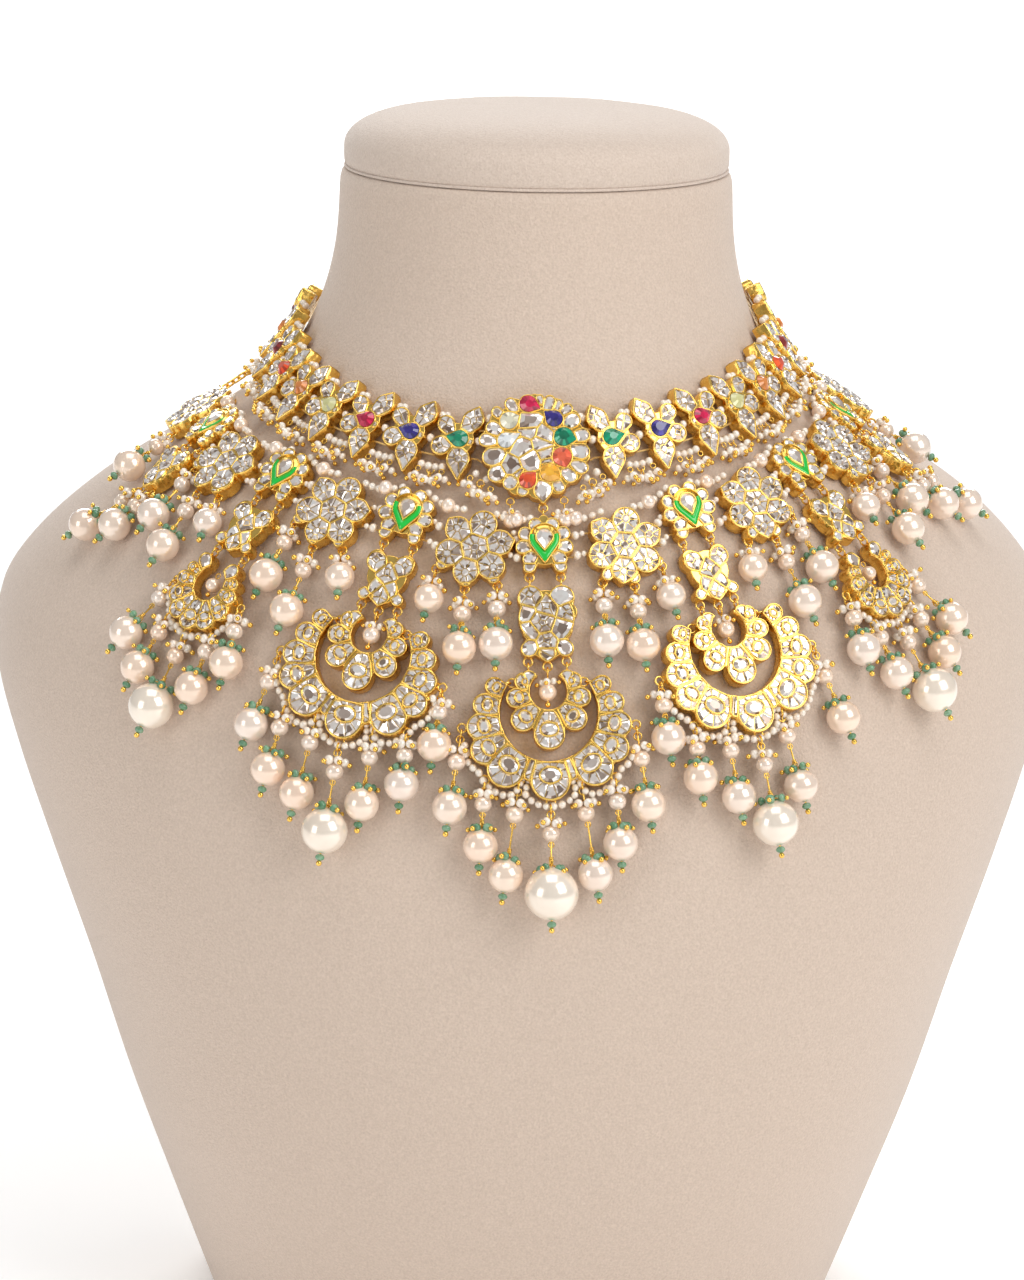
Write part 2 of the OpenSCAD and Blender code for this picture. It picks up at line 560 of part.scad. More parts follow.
module chandbali(side, k) {
    w = chandbali_w;
    color([0.83, 0.62, 0.22]) place(pendant_seat(side, k)) {
        union() {
            crescent(OUTER, w, 0.355, 0, 0.285, 0.078, 0.21);
            for (x = [-1, 1]) side_ring(x * (horn_x + nip + ring_r), horn_y);
            for (row = DROPS) if (row[0] == 3 && has_drop(row, side, k)) {
                lug(side * row[3] * w, row[4] * w);
                if (k == 0 && row[3] > 0) lug(-side * row[3] * w, row[4] * w);
            }
        }
        union() {
            crescent(INNER, w, 0.20, 0.155, 0.105, 0.205, 0.26);
            for (x = [-1, 1]) {
                disc(x * foot_x, pendant_top(k) - ring_r * 0.7 - w * 0.06, w * 0.06);
                cross_ring(x * foot_x, pendant_top(k));
                lug(x * horn_x, horn_y);
            }
        }
    }
}
module single_crescent(side, k) {
    w = crescent_w;
    color([0.83, 0.62, 0.22]) place(pendant_seat(side, k)) union() {
        crescent(SINGLE, w, 0.40, 0, 0.20, 0.13, 0.30);
        for (x = [-1, 1]) {
            disc(x * foot_x, pendant_top(k) - ring_r * 0.7 - w * 0.10, w * 0.10);
            cross_ring(x * foot_x, pendant_top(k));
        }
        for (row = DROPS) if (row[0] == 4) lug(side * row[3] * w, row[4] * w);
    }
}

// Pearl drops: an eye, a straight wire with a ball at its end, and the drilled pearls on it
bore_d = pin_d + 2 * loose_gap;
module pearl(drop, len, size) {
    place(frame_along(drop[0] + drop[1] * len, drop[1], drop[2])) difference() {
        sphere(d = size);
        translate([0, 0, -size]) cylinder(h = 2 * size, d = bore_d, $fn = 24);
    }
}
module drop_pearls() {
    color([0.90, 0.84, 0.78]) for (d = ALL_DROPS) if (d[5] != small_pearl_d) pearl(d, d[4], d[5]);
}
module small_pearls() {
    color([0.92, 0.87, 0.80]) for (d = ALL_DROPS) {
        if (d[3] > 0) pearl(d, d[3], small_pearl_d);
        if (d[5] == small_pearl_d) pearl(d, d[4], small_pearl_d);
    }
}
module drop_wires() {
    color([0.83, 0.62, 0.22]) for (d = ALL_DROPS) {
        top = ring_r - wire_d * 0.2;
        reach = d[4] + d[5] / 2 + ball_d * (d[5] == small_pearl_d ? 0.6 : 1.6);
        union() {
            place(frame_along(d[0], d[2], d[1])) ring_shape();
            place(frame_along(d[0] + d[1] * top, d[1], d[2])) {
                cylinder(h = reach - top, d = pin_d, $fn = 24);
                translate([0, 0, reach - top]) sphere(d = ball_d, $fn = 24);
            }
        }
    }
}

// Threads through the links and through the second row, each one piece
// A thread ends in the middle of the last plaque on each side
function mouths(f, side, half, y, last = false) =
    [for (x = [-half, last ? 0 : half]) [world(f, [side * x, y, plate_t * 0.3]), f[2]]];
function link_mouths(side, y) =
    [for (i = [1 : link_n], m = mouths(link_seat(side, i), side, link_h * 0.27, y, i == link_n)) m];
function row_mouths(side, y) =
    [for (j = [1 : plaques], m = mouths(plaque_seat(side, j), side,
        (is_flower(j) ? flower_d : rosette_d) * 0.5, y + row_lift(j), j == plaques)) m];
function reversed(list) = [for (i = [len(list) - 1 : -1 : 0]) list[i]];
module thread(left, middle, right) {
    all = concat(reversed(left), middle, right);
    tube([for (m = all) m[0]], [for (m = all) m[1]], thread_d);
}
module choker_threads() {
    color([0.72, 0.56, 0.28]) for (y = [choker_upper, choker_lower])
        thread(link_mouths(-1, y), mouths(centre_seat, 1, centre_d * 0.49, y), link_mouths(1, y));
}
module row_threads() {
    color([0.72, 0.56, 0.28]) for (y = [row_upper, row_lower])
        thread(row_mouths(-1, y), mouths(flower_0_seat, 1, flower_d * 0.5, y + row_lift(0)),
               row_mouths(1, y));
}

// Tail chains, drawn as one smooth strand each, with a ring at each end
function lying(p) =
    let (u = under(p), n = normal(u), h = (p - at(u)) * n)
    [at(u) + n * max(h, chain_d / 2 + lie_gap), n];
// The eye that hooks into ring a of a piece f on the way to d: [its middle, its axis]
function eye_from(f, a, d) =
    let (flat = unit(d - f[2] * (d * f[2])))
    [a + flat * ring_r + d * nip, unit(cross(d, f[2]))];

clasp_l = 9;
clasp_seat = let (u = choker_at(180), n = normal(u), r = unit(d_turn(u)))
    [r, cross(n, r), n, at(u) + n * (chain_d / 2 + lie_gap)];
module choker_tails() {
    color([0.83, 0.62, 0.22]) for (side = [-1, 1]) {
        f = link_seat(side, link_n);
        way = f[0] * side;
        eye = eye_from(f, world(f, [side * (link_h * 0.315 + lug_out), -link_h * 0.06, ring_z]), way);
        start = eye[0] + way * ring_r;
        ring = world(clasp_seat, [-side * (clasp_l / 2 + ring_r + nip), 0, 0]);
        end = ring - clasp_seat[0] * side * ring_r;
        turn = turn_of(start);
        last = 180 * side - side * 14;
        first = turn + side * 5;
        path = [for (k = [0 : 8]) let (u = choker_at(first + (last - first) * k / 8))
            [at(u) + normal(u) * (chain_d / 2 + lie_gap), normal(u)]];
        tube(concat([start], [for (p = path) p[0]], [end]),
             concat([f[2]], [for (p = path) p[1]], [clasp_seat[2]]), chain_d);
        place(frame_along(eye[0], eye[1], way)) ring_shape();
        place([clasp_seat[0], clasp_seat[1], clasp_seat[2], ring]) ring_shape();
    }
}
module clasp() {
    color([0.83, 0.62, 0.22]) place(clasp_seat) {
        rotate([0, 90, 0]) translate([0, 0, -clasp_l / 2 + ring_r])
            cylinder(h = clasp_l - 2 * ring_r, d = chain_d);
        for (x = [-1, 1]) translate([x * clasp_l / 2, 0, 0]) rotate([90, 0, 0]) ring_shape();
    }
}
module row_tails() {
    color([0.83, 0.62, 0.22]) for (side = [-1, 1]) {
        f = plaque_seat(side, plaques);
        g = link_seat(side, link_n);
        a = world(f, [side * (rosette_d * 0.5 + lug_out), rosette_d * 0.10, ring_z]);
        b = world(g, [-side * link_h * 0.10, -link_h * 0.50 - lug_out, ring_z]);
        way_a = unit(lying(a * 0.75 + b * 0.25)[0] - a);
        way_b = unit(lying(a * 0.25 + b * 0.75)[0] - b);
        eye_a = eye_from(f, a, way_a);
        eye_b = eye_from(g, b, way_b);
        start = eye_a[0] + way_a * ring_r;
        end = eye_b[0] + way_b * ring_r;
        path = [for (k = [1 : 4]) lying(start + (end - start) * k / 5)];
        tube(concat([start], [for (p = path) p[0]], [end]),
             concat([f[2]], [for (p = path) p[1]], [g[2]]), chain_d);
        place(frame_along(eye_a[0], eye_a[1], way_a)) ring_shape();
        place(frame_along(eye_b[0], eye_b[1], way_b)) ring_shape();
    }
}

bust();
bust_cap();
centre_plaque();
centre_gems();
link(-1, 1);  // link_left_1
link(-1, 2);  // link_left_2
link(-1, 3);  // link_left_3
link(-1, 4);  // link_left_4
link(-1, 5);  // link_left_5
link(-1, 6);  // link_left_6
link(-1, 7);  // link_left_7
link(-1, 8);  // link_left_8
link(-1, 9);  // link_left_9
link(1, 1);  // link_right_1
link(1, 2);  // link_right_2
link(1, 3);  // link_right_3
link(1, 4);  // link_right_4
link(1, 5);  // link_right_5
link(1, 6);  // link_right_6
link(1, 7);  // link_right_7
link(1, 8);  // link_right_8
link(1, 9);  // link_right_9
link_gems();
flower(1, 0);  // flower_centre
rosette(-1, 1);  // rosette_left_1
flower(-1, 2);  // flower_left_2
rosette(-1, 3);  // rosette_left_3
flower(-1, 4);  // flower_left_4
rosette(-1, 5);  // rosette_left_5
flower(-1, 6);  // flower_left_6
rosette(-1, 7);  // rosette_left_7
rosette(1, 1);  // rosette_right_1
flower(1, 2);  // flower_right_2
rosette(1, 3);  // rosette_right_3
flower(1, 4);  // flower_right_4
rosette(1, 5);  // rosette_right_5
flower(1, 6);  // flower_right_6
rosette(1, 7);  // rosette_right_7
connector(1, 0);  // connector_centre
connector(-1, 1);  // connector_left_1
connector(-1, 2);  // connector_left_2
connector(-1, 3);  // connector_left_3
connector(1, 1);  // connector_right_1
connector(1, 2);  // connector_right_2
connector(1, 3);  // connector_right_3
chandbali(1, 0);  // chandbali_centre
chandbali(-1, 1);  // chandbali_left
chandbali(1, 1);  // chandbali_right
single_crescent(-1, 2);  // crescent_left
single_crescent(1, 2);  // crescent_right
drop_pearls();
small_pearls();
drop_wires();
choker_threads();
row_threads();
choker_tails();
row_tails();
clasp();
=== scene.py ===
"""Looks of the kundan necklace on its neck bust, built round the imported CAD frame.

Lengths in this script are millimetres in the row frame until a mesh is made, which is in metres.
The layout follows the CAD source: the same bust sections, seats of the plaques and table of drops.
"""

import math
import random

import bpy
import numpy as np
from mathutils import Matrix, Vector


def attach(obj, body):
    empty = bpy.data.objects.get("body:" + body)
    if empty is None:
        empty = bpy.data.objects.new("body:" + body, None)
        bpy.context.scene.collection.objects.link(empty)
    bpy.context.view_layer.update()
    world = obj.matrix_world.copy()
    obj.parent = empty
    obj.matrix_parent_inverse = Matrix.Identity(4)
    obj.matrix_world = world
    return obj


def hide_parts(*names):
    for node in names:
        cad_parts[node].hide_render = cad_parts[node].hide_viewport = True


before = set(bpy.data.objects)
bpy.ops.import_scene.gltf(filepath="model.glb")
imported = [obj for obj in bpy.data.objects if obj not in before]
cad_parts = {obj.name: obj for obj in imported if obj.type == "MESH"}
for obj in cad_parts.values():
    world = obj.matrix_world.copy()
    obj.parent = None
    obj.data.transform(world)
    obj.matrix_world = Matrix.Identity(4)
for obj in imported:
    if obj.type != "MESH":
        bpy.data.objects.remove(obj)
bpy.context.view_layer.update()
MM = 0.001

# Bust
BUST_H = 346.0
SHOULDER_W = 320.0
NECK_R = 57.0
CHEST_REACH = 145.0
BACK_REACH = 31.0
CAP_RISE = 12.0
CAP_EDGE = 6.0
# Choker
CHOKER_Z = 276.0
CHOKER_RISE = 40.0
LINK_PITCH = 13.8
LINK_H = 23.0
LINK_N = 9
CENTRE_D = 31.0
LIE_SKEW = 2.0
LIE_TURN = 2.5
# Second row
ROW_Z = 252.0
ROW_RISE = 26.0
ROW_PITCH = 20.0
ROSETTE_D = 22.0
FLOWER_D = 16.5
ROSETTE_DROP = 5.0
PLAQUES = 7
LEAN_4 = -3.0
LEAN_6 = -13.0
# Pendants
CHANDBALI_W = 46.0
CRESCENT_W = 24.0
PAISLEY_H = 22.0
TREFOIL_H = 16.5
# Gold, pearls and clearances
PLATE_T = 4.4
RING_R = 1.2
WIRE_D = 0.6
CHAIN_D = 2.4
CENTRE_PEARL_D = 14.8
BIG_PEARL_D = 12.8
PEARL_D = 9.6
SHORT_PEARL_D = 8.4
SMALL_PEARL_D = 5.0
LIE_GAP = 0.3
LOOSE_GAP = 0.2
# Beads, rings and stones that only this script makes
SPACER_SEED_D = 2.6
STRAND_SEED_D = 2.3
JADE_D = 2.6
SPACER_D = 1.7
VOID_PEARL_D = 4.4
STRAND_PEARL_D = 4.3
PIN_D = 0.28
CHAIN_PITCH = 2.15
CLASP_L = 9.0
RIM_W = 0.5
RIM_H = 0.40
# Depth of the hammer marks on the walls
HAMMER = 0.07
CELL_GAP = 0.07
STONE_GAP = 0.10
# Square millimetres of a cell for each polki in it
AREA_PER_STONE = 4.0
POLKI_H = 0.6
OVAL_H = 0.75
PETAL_H = 0.5
RAISED_H = 1.25
FACET_LEAST = 0.16
STONE_LEAST = 0.12

# Columns: share of the height; width; set back; front reach; back reach; squareness
SECTIONS = np.array([
    [0.000, 0.380, 0.300, 0.550, 1.03, 2.30],
    [0.115, 0.515, 0.320, 0.740, 1.00, 2.30],
    [0.215, 0.630, 0.330, 0.875, 1.00, 2.30],
    [0.320, 0.740, 0.350, 0.965, 1.00, 2.25],
    [0.420, 0.855, 0.370, 1.000, 1.00, 2.20],
    [0.505, 0.950, 0.400, 0.975, 1.00, 2.15],
    [0.570, 1.000, 0.385, 0.885, 0.96, 2.10],
    [0.630, 0.980, 0.350, 0.770, 0.92, 2.05],
    [0.675, 0.885, 0.300, 0.650, 0.81, 1.95],
    [0.725, 0.710, 0.210, 0.490, 0.58, 1.90],
    [0.770, 0.485, 0.140, 0.340, 0.31, 1.90],
    [0.805, 0.280, 0.090, 0.220, 0.15, 1.95],
    [0.845, 0.135, 0.035, 0.115, 0.04, 2.00],
    [0.885, 0.060, 0.018, 0.050, -0.04, 2.00],
    [0.935, 0.015, 0.000, 0.010, -0.04, 2.00],
    [1.000, 0.000, 0.000, 0.000, 0.00, 2.00],
])
SECT = np.column_stack([
    SECTIONS[:, 0] * BUST_H,
    NECK_R + SECTIONS[:, 1] * (SHOULDER_W / 2 - NECK_R),
    SECTIONS[:, 2] * NECK_R,
    NECK_R + SECTIONS[:, 3] * (CHEST_REACH - NECK_R),
    NECK_R + SECTIONS[:, 4] * (BACK_REACH - NECK_R),
    SECTIONS[:, 5]])
LAST = len(SECT) - 1
SLOPE = np.array([
    (SECT[min(i + 1, LAST)] - SECT[max(i - 1, 0)])
    / (SECT[min(i + 1, LAST)][0] - SECT[max(i - 1, 0)][0]) for i in range(LAST + 1)])


def sin(a):
    return math.sin(math.radians(a))


def cos(a):
    return math.cos(math.radians(a))


def unit(v):
    return v / np.linalg.norm(v)


def section(z):
    """The bust's section at a height, eased between the table's rows."""
    z = min(max(z, 0.0), BUST_H)
    i = min(int((SECT[:, 0] <= z).sum()) - 1, LAST - 1)
    h = SECT[i + 1][0] - SECT[i][0]
    t = (z - SECT[i][0]) / h
    return ((2 * t ** 3 - 3 * t ** 2 + 1) * SECT[i] + (t ** 3 - 2 * t ** 2 + t) * h * SLOPE[i]
            + (3 * t ** 2 - 2 * t ** 3) * SECT[i + 1] + (t ** 3 - t ** 2) * h * SLOPE[i + 1])


def at(u):
    """Point on the bust at u = (turn from the front in degrees, height)."""
    s = section(u[1])
    x, c = sin(u[0]), cos(u[0])
    b = s[3] if c > 0 else s[4]
    r = (abs(x / s[1]) ** s[5] + abs(c / b) ** s[5]) ** (-1 / s[5])
    return np.array([r * x, s[2] - r * c, u[1]])


def d_turn(u):
    return (at((u[0] + 1, u[1])) - at((u[0] - 1, u[1]))) / 2


def d_rise(u):
    return (at((u[0], u[1] + 1)) - at((u[0], u[1] - 1))) / 2


def normal(u):
    return unit(np.cross(d_turn(u), d_rise(u)))


def beside(u, x, y):
    """A nearby place, x to the right and y up along the bust."""
    return (u[0] + x / np.linalg.norm(d_turn(u)), u[1] + y / np.linalg.norm(d_rise(u)))


def down(u, side, length, lean=0.0):
    """A place a length further down, leaning to the outside."""
    step = length / 3
    for _ in range(3):
        u = beside(u, side * step * sin(lean), -step * cos(lean))
    return u


class Frame:
    """Where a plaque lies: right, up and out directions and the origin on its back."""

    def __init__(self, right, up, out, origin):
        self.axes = np.array([right, up, out])
        self.origin = np.array(origin)

    def world(self, points):
        return np.asarray(points, float) @ self.axes + self.origin

    def rolled(self, a):
        right, up, out = self.axes
        return Frame(right * cos(a) + up * sin(a), up * cos(a) - right * sin(a), out, self.origin)


def seat(u, w, h):
    """Frame of a plaque w wide and h high that lies on the bust at u, over the bust's bulge."""
    c = at(u)
    r, l = at(beside(u, w / 2, 0)), at(beside(u, -w / 2, 0))
    t, b = at(beside(u, 0, h / 2)), at(beside(u, 0, -h / 2))
    n = unit(np.cross(r - l, t - b))
    up = unit(t - b)
    bulge = max((at(beside(u, w / 2 * cos(k), h / 2 * sin(k))) - c) @ n for k in range(0, 331, 30))
    return Frame(np.cross(up, n), up, n, c + n * (max(0.0, bulge) + LIE_GAP))


def choker_at(a):
    """The choker's line on the bust, at a turn in degrees."""
    return (a - LIE_TURN * max(0.0, cos(a)),
            CHOKER_Z + CHOKER_RISE * (1 - cos(a)) / 2 + LIE_SKEW * sin(a))


def row_at(a):
    """The second row's line on the bust."""
    return (a, ROW_Z + ROW_RISE * abs(a) / 90 + LIE_SKEW * sin(a))


def run_along(points):
    """Length from a line's start to each of its points."""
    return np.concatenate([[0], np.cumsum(np.linalg.norm(np.diff(points, axis=0), axis=1))])


def line_turn(line, length, side, last):
    """The turn at a length along a line from the front."""
    turns = np.arange(0, last + 1, 3.0)
    return float(np.interp(length, run_along([at(line(side * a)) for a in turns]), turns))


def turn_of(p):
    """Turn from the front, in degrees, of a point round the bust."""
    return math.degrees(math.atan2(p[0], section(p[2])[2] - p[1]))


def under(p):
    """The place on the bust under a point."""
    u = (turn_of(p), p[2])
    n = normal(u)
    q = p - n * ((p - at(u)) @ n)
    return (turn_of(q), q[2])


RING_Z = PLATE_T * 0.42
NIP = RING_R - WIRE_D - LOOSE_GAP
LUG_OUT = RING_R * 0.3


def hang(f, y, top, length, w, side, x=0.0):
    """Seat of a piece that hangs by its two rings in the rings of another and lies on the bust."""
    hinge = f.world([x, y - RING_R, RING_Z])
    right = f.axes[0]
    u = under(hinge)
    v = hinge - at(down(u, side, length))
    up = unit(v - right * (v @ right))
    out = np.cross(right, up)
    lift = []
    for s in (0.3, 0.475, 0.65, 0.825, 1.0):
        place = down(u, side, length * s)
        for k in (-0.5, 0, 0.5):
            lift.append(((at(beside(place, w * k, 0)) - hinge) @ out + RING_Z + LIE_GAP) / s)
    up2 = unit(up * length - out * max(lift))
    out2 = np.cross(right, up2)
    return Frame(right, up2, out2, hinge - up2 * (NIP + top) - out2 * RING_Z)


CENTRE_TIP = -CENTRE_D * 0.545
BAIL_X = CENTRE_D * 0.05
FLOWER_TOP = FLOWER_D * 0.53 + RING_R * 0.7
EAR_X = FLOWER_D * 0.26
EAR_Y = -FLOWER_D * 0.52
FOOT_X = CRESCENT_W * 0.22
HORN_X = CHANDBALI_W * 0.213
HORN_Y = CHANDBALI_W * 0.262
LINK_FIRST = CENTRE_D / 2 + LINK_PITCH * 0.42
SIDES = {"left": -1, "right": 1}


def connector_h(k):
    return PAISLEY_H if k == 0 else TREFOIL_H


def connector_top(k):
    return connector_h(k) / 2 + RING_R * 0.7


def connector_foot(k):
    return -connector_h(k) * 0.44


def pendant_top(k):
    return (CHANDBALI_W * 0.335 if k < 2 else CRESCENT_W * 0.46) + RING_R * 0.7


def is_flower(j):
    return j % 2 == 0


CENTRE = seat(choker_at(0), CENTRE_D, CENTRE_D).rolled(LIE_TURN)
LINKS, ROW, CONNECTORS, PENDANTS = {}, {}, {}, {}
for side in (-1, 1):
    for i in range(1, LINK_N + 1):
        a = side * line_turn(choker_at, LINK_FIRST + (i - 1) * LINK_PITCH, side, 180)
        f = seat(choker_at(a), LINK_H * 0.6, LINK_H)
        d = at(choker_at(a + 3)) - at(choker_at(a - 3))
        LINKS[side, i] = f.rolled(math.degrees(math.atan2(d @ f.axes[1], d @ f.axes[0])))
    ROW[side, 0] = hang(CENTRE, CENTRE_TIP - LUG_OUT, FLOWER_TOP, FLOWER_TOP + FLOWER_D / 2,
                        FLOWER_D, 1, BAIL_X)
    for j in range(1, PLAQUES + 1):
        u = row_at(side * line_turn(row_at, j * ROW_PITCH, side, 150))
        size = FLOWER_D if is_flower(j) else ROSETTE_D
        if not is_flower(j):
            u = down(u, side, ROSETTE_DROP)
        ROW[side, j] = seat(u, size, size).rolled(side * {4: LEAN_4, 6: LEAN_6}.get(j, 0.0))
    for k in range(4):
        CONNECTORS[side, k] = hang(ROW[side, 2 * k], EAR_Y - LUG_OUT, connector_top(k),
                                   connector_top(k) + connector_h(k) / 2, connector_h(k) * 0.74,
                                   side)
    for k in range(3):
        w = CHANDBALI_W if k < 2 else CRESCENT_W
        PENDANTS[side, k] = hang(CONNECTORS[side, k], connector_foot(k) - LUG_OUT,
                                 pendant_top(k), pendant_top(k) + w / 2, w, side)

# Drops. Columns: host (1 rosette, 2 connector, 3 chandbali, 4 crescent); first and last number;
# ring outwards and up as shares; length to the small and to the large pearl; kind (0 short,
# 1 large, 2 big, 3 small); lean; 1 for the left side only
DROPS = [
    [1, 1, 1, -0.34, -0.43, 6.8, 17.0, 1, -3, 0],
    [1, 1, 1, 0.06, -0.52, 7.4, 17.4, 1, -3, 0],
    [1, 1, 1, 0.45, -0.30, 0, 9.2, 0, 0, 0],
    [1, 3, 3, -0.34, -0.43, 0, 8.4, 0, -20, 0],
    [1, 3, 3, 0.06, -0.52, 7.4, 20.0, 1, -7, 0],
    [1, 3, 3, 0.45, -0.30, 6.6, 17.6, 1, -6, 0],
    [1, 5, 5, -0.34, -0.43, 0, 9.2, 0, -28, 0],
    [1, 5, 5, 0.06, -0.52, 7.4, 20.0, 1, -20, 0],
    [1, 5, 5, 0.45, -0.30, 6.6, 19.2, 1, -16, 0],
    [1, 7, 7, -0.34, -0.43, 6.8, 17.0, 1, -24, 0],
    [2, 3, 3, -0.16, -0.48, 6.0, 13.8, 1, -5, 0],
    [2, 3, 3, 0.20, -0.48, 7.2, 20.0, 1, 12, 0],
    [2, 0, 1, 0, -0.52, 0, 7.2, 3, 0, 0],
    [3, 0, 1, 0.515, 0.00, 9.4, 22.0, 1, 4, 0],
    [3, 1, 1, 0.387, -0.311, 6.6, 18.4, 1, 2, 1],
    [3, 0, 0, 0.387, -0.311, 6.6, 18.0, 1, 1, 0],
    [3, 1, 1, 0.182, -0.318, 8.4, 22.6, 1, 3, 0],
    [3, 0, 0, 0.182, -0.318, 9.4, 26.0, 1, 7, 0],
    [3, 0, 1, 0, -0.455, 8.4, 24.6, 2, 0, 0],
    [3, 1, 1, -0.182, -0.318, 8.6, 21.4, 1, 1, 0],
    [3, 1, 1, -0.387, -0.311, 6.2, 14.2, 1, 0, 0],
    [3, 1, 1, -0.515, 0.00, 6.8, 15.8, 1, 2, 0],
    [4, 2, 2, 0.53, 0.02, 7.2, 20.6, 1, 10, 0],
    [4, 2, 2, 0.36, -0.36, 6.6, 18.0, 1, 1, 0],
    [4, 2, 2, 0, -0.50, 7.2, 22.6, 2, 1, 0],
    [4, 2, 2, -0.36, -0.36, 5.8, 16.6, 1, -1, 0],
    [4, 2, 2, -0.53, 0.02, 6.8, 16.0, 1, -11, 0],
]


def host_size(host, j):
    return {1: ROSETTE_D, 2: connector_h(j), 3: CHANDBALI_W, 4: CRESCENT_W}[host]


def host_seat(host, side, j):
    return {1: ROW, 2: CONNECTORS, 3: PENDANTS, 4: PENDANTS}[host][side, j]


def has_drop(row, side, j):
    """Whether a row of the table hangs on this side of its host with the number j."""
    if not row[1] <= j <= row[2] or (row[9] == 1 and side > 0):
        return False
    return not (j == 0 and (row[3] < 0 or (row[3] == 0 and side < 0)))


def all_drops():
    """Each drop's eye, its directions, the lengths to its pearls, and the large pearl."""
    made = []
    for row in DROPS:
        for j in range(row[1], row[2] + 1):
            for side in (-1, 1):
                if not has_drop(row, side, j):
                    continue
                f, s = host_seat(row[0], side, j), host_size(row[0], j)
                size = {0: SHORT_PEARL_D, 1: PEARL_D, 3: SMALL_PEARL_D,
                        2: CENTRE_PEARL_D if j == 0 else BIG_PEARL_D}[row[7]]
                a = f.world([side * row[3] * s, row[4] * s, RING_Z])
                u = down(under(a), side, row[6], row[8])
                way = unit(at(u) + normal(u) * (size / 2 + LIE_GAP) - a)
                flat = unit(way - f.axes[2] * (way @ f.axes[2]))
                across = unit(np.cross(way, f.axes[2]))
                out = np.cross(across, way)
                made.append(dict(
                    eye=a + flat * RING_R + way * NIP, way=way, across=across,
                    out=out if out @ f.axes[2] >= 0 else -out,
                    small=row[5] - RING_R - NIP if row[5] > 0 else 0.0,
                    large=row[6] - RING_R - NIP, size=size, kind=row[7]))
    return made


# Materials


def shader(name, base, rough, *, tint, tint_scale, tint_amount=0.6, metal=0.0, islands=None,
           bumps=(), rough_swing=0.08, **sockets):
    """A Principled material: tinted by noise and by island, with roughness swing and bumps. On
    beads the island tint is each bead's own tone; on cut stones it paints each facet darker or
    brighter, as painted reflections.
    """
    m = bpy.data.materials.new(name)
    m.use_nodes = True
    nodes, links = m.node_tree.nodes, m.node_tree.links
    b = nodes["Principled BSDF"]
    b.inputs["Metallic"].default_value = metal
    for key, value in sockets.items():
        b.inputs[key.replace("_", " ")].default_value = value
    co = nodes.new("ShaderNodeTexCoord").outputs["Object"]

    def noise(scale, detail=3.0):
        n = nodes.new("ShaderNodeTexNoise")
        n.inputs["Scale"].default_value = scale
        n.inputs["Detail"].default_value = detail
        links.new(co, n.inputs["Vector"])
        return n.outputs["Fac"]

    def mix(fac, one, two, blend="MIX"):
        n = nodes.new("ShaderNodeMix")
        n.data_type, n.blend_type = "RGBA", blend
        for socket, value in ((n.inputs["Factor"], fac), (n.inputs[6], one), (n.inputs[7], two)):
            if isinstance(value, tuple):
                socket.default_value = (*value, 1.0)
            elif isinstance(value, float):
                socket.default_value = value
            else:
                links.new(value, socket)
        return n.outputs[2]

    def ranged(fac, low, high):
        n = nodes.new("ShaderNodeMapRange")
        for key, value in (("From Min", 0.3), ("From Max", 0.7), ("To Min", low),
                           ("To Max", high)):
            n.inputs[key].default_value = value
        links.new(fac, n.inputs["Value"])
        return n.outputs["Result"]

    color = mix(ranged(noise(tint_scale), 0.0, tint_amount), base, tint)
    if islands:
        ramp = nodes.new("ShaderNodeValToRGB")
        stops = ramp.color_ramp.elements
        while len(stops) < len(islands):
            stops.new(0.5)
        for n, c in enumerate(islands):
            stops[n].position = n / (len(islands) - 1)
            stops[n].color = (*c, 1.0)
        geometry = nodes.new("ShaderNodeNewGeometry")
        links.new(geometry.outputs["Random Per Island"], ramp.inputs["Fac"])
        color = mix(1.0, color, ramp.outputs["Color"], "MULTIPLY")
    links.new(color, b.inputs["Base Color"])
    links.new(ranged(noise(tint_scale * 1.7), max(0.02, rough - rough_swing), rough + rough_swing),
              b.inputs["Roughness"])
    surface = None
    for kind, scale, strength, distance in bumps:
        if kind == "cells":
            v = nodes.new("ShaderNodeTexVoronoi")
            v.feature = "SMOOTH_F1"
            v.inputs["Scale"].default_value = scale
            links.new(co, v.inputs["Vector"])
            height = v.outputs["Distance"]
        else:
            height = noise(scale, 4.0)
        bump = nodes.new("ShaderNodeBump")
        bump.inputs["Strength"].default_value = strength
        bump.inputs["Distance"].default_value = distance * MM
        links.new(height, bump.inputs["Height"])
        if surface is not None:
            links.new(surface, bump.inputs["Normal"])
        surface = bump.outputs["Normal"]
    if surface is not None:
        links.new(surface, b.inputs["Normal"])
    return m


def gem(name, base, dark):
    """A glassy coloured stone. Its facets are painted darker or brighter at random, as painted
    reflections and glints.
    """
    return shader(name, base, 0.07, tint=dark, tint_scale=450.0, tint_amount=0.8,
                  rough_swing=0.03, Coat_Weight=0.9, Coat_Roughness=0.03,
                  islands=((0.45, 0.45, 0.45), (0.9, 0.9, 0.9), (1.0, 1.0, 1.0), (1.5, 1.5, 1.5)),
                  bumps=(("noise", 700.0, 0.15, 0.1),))


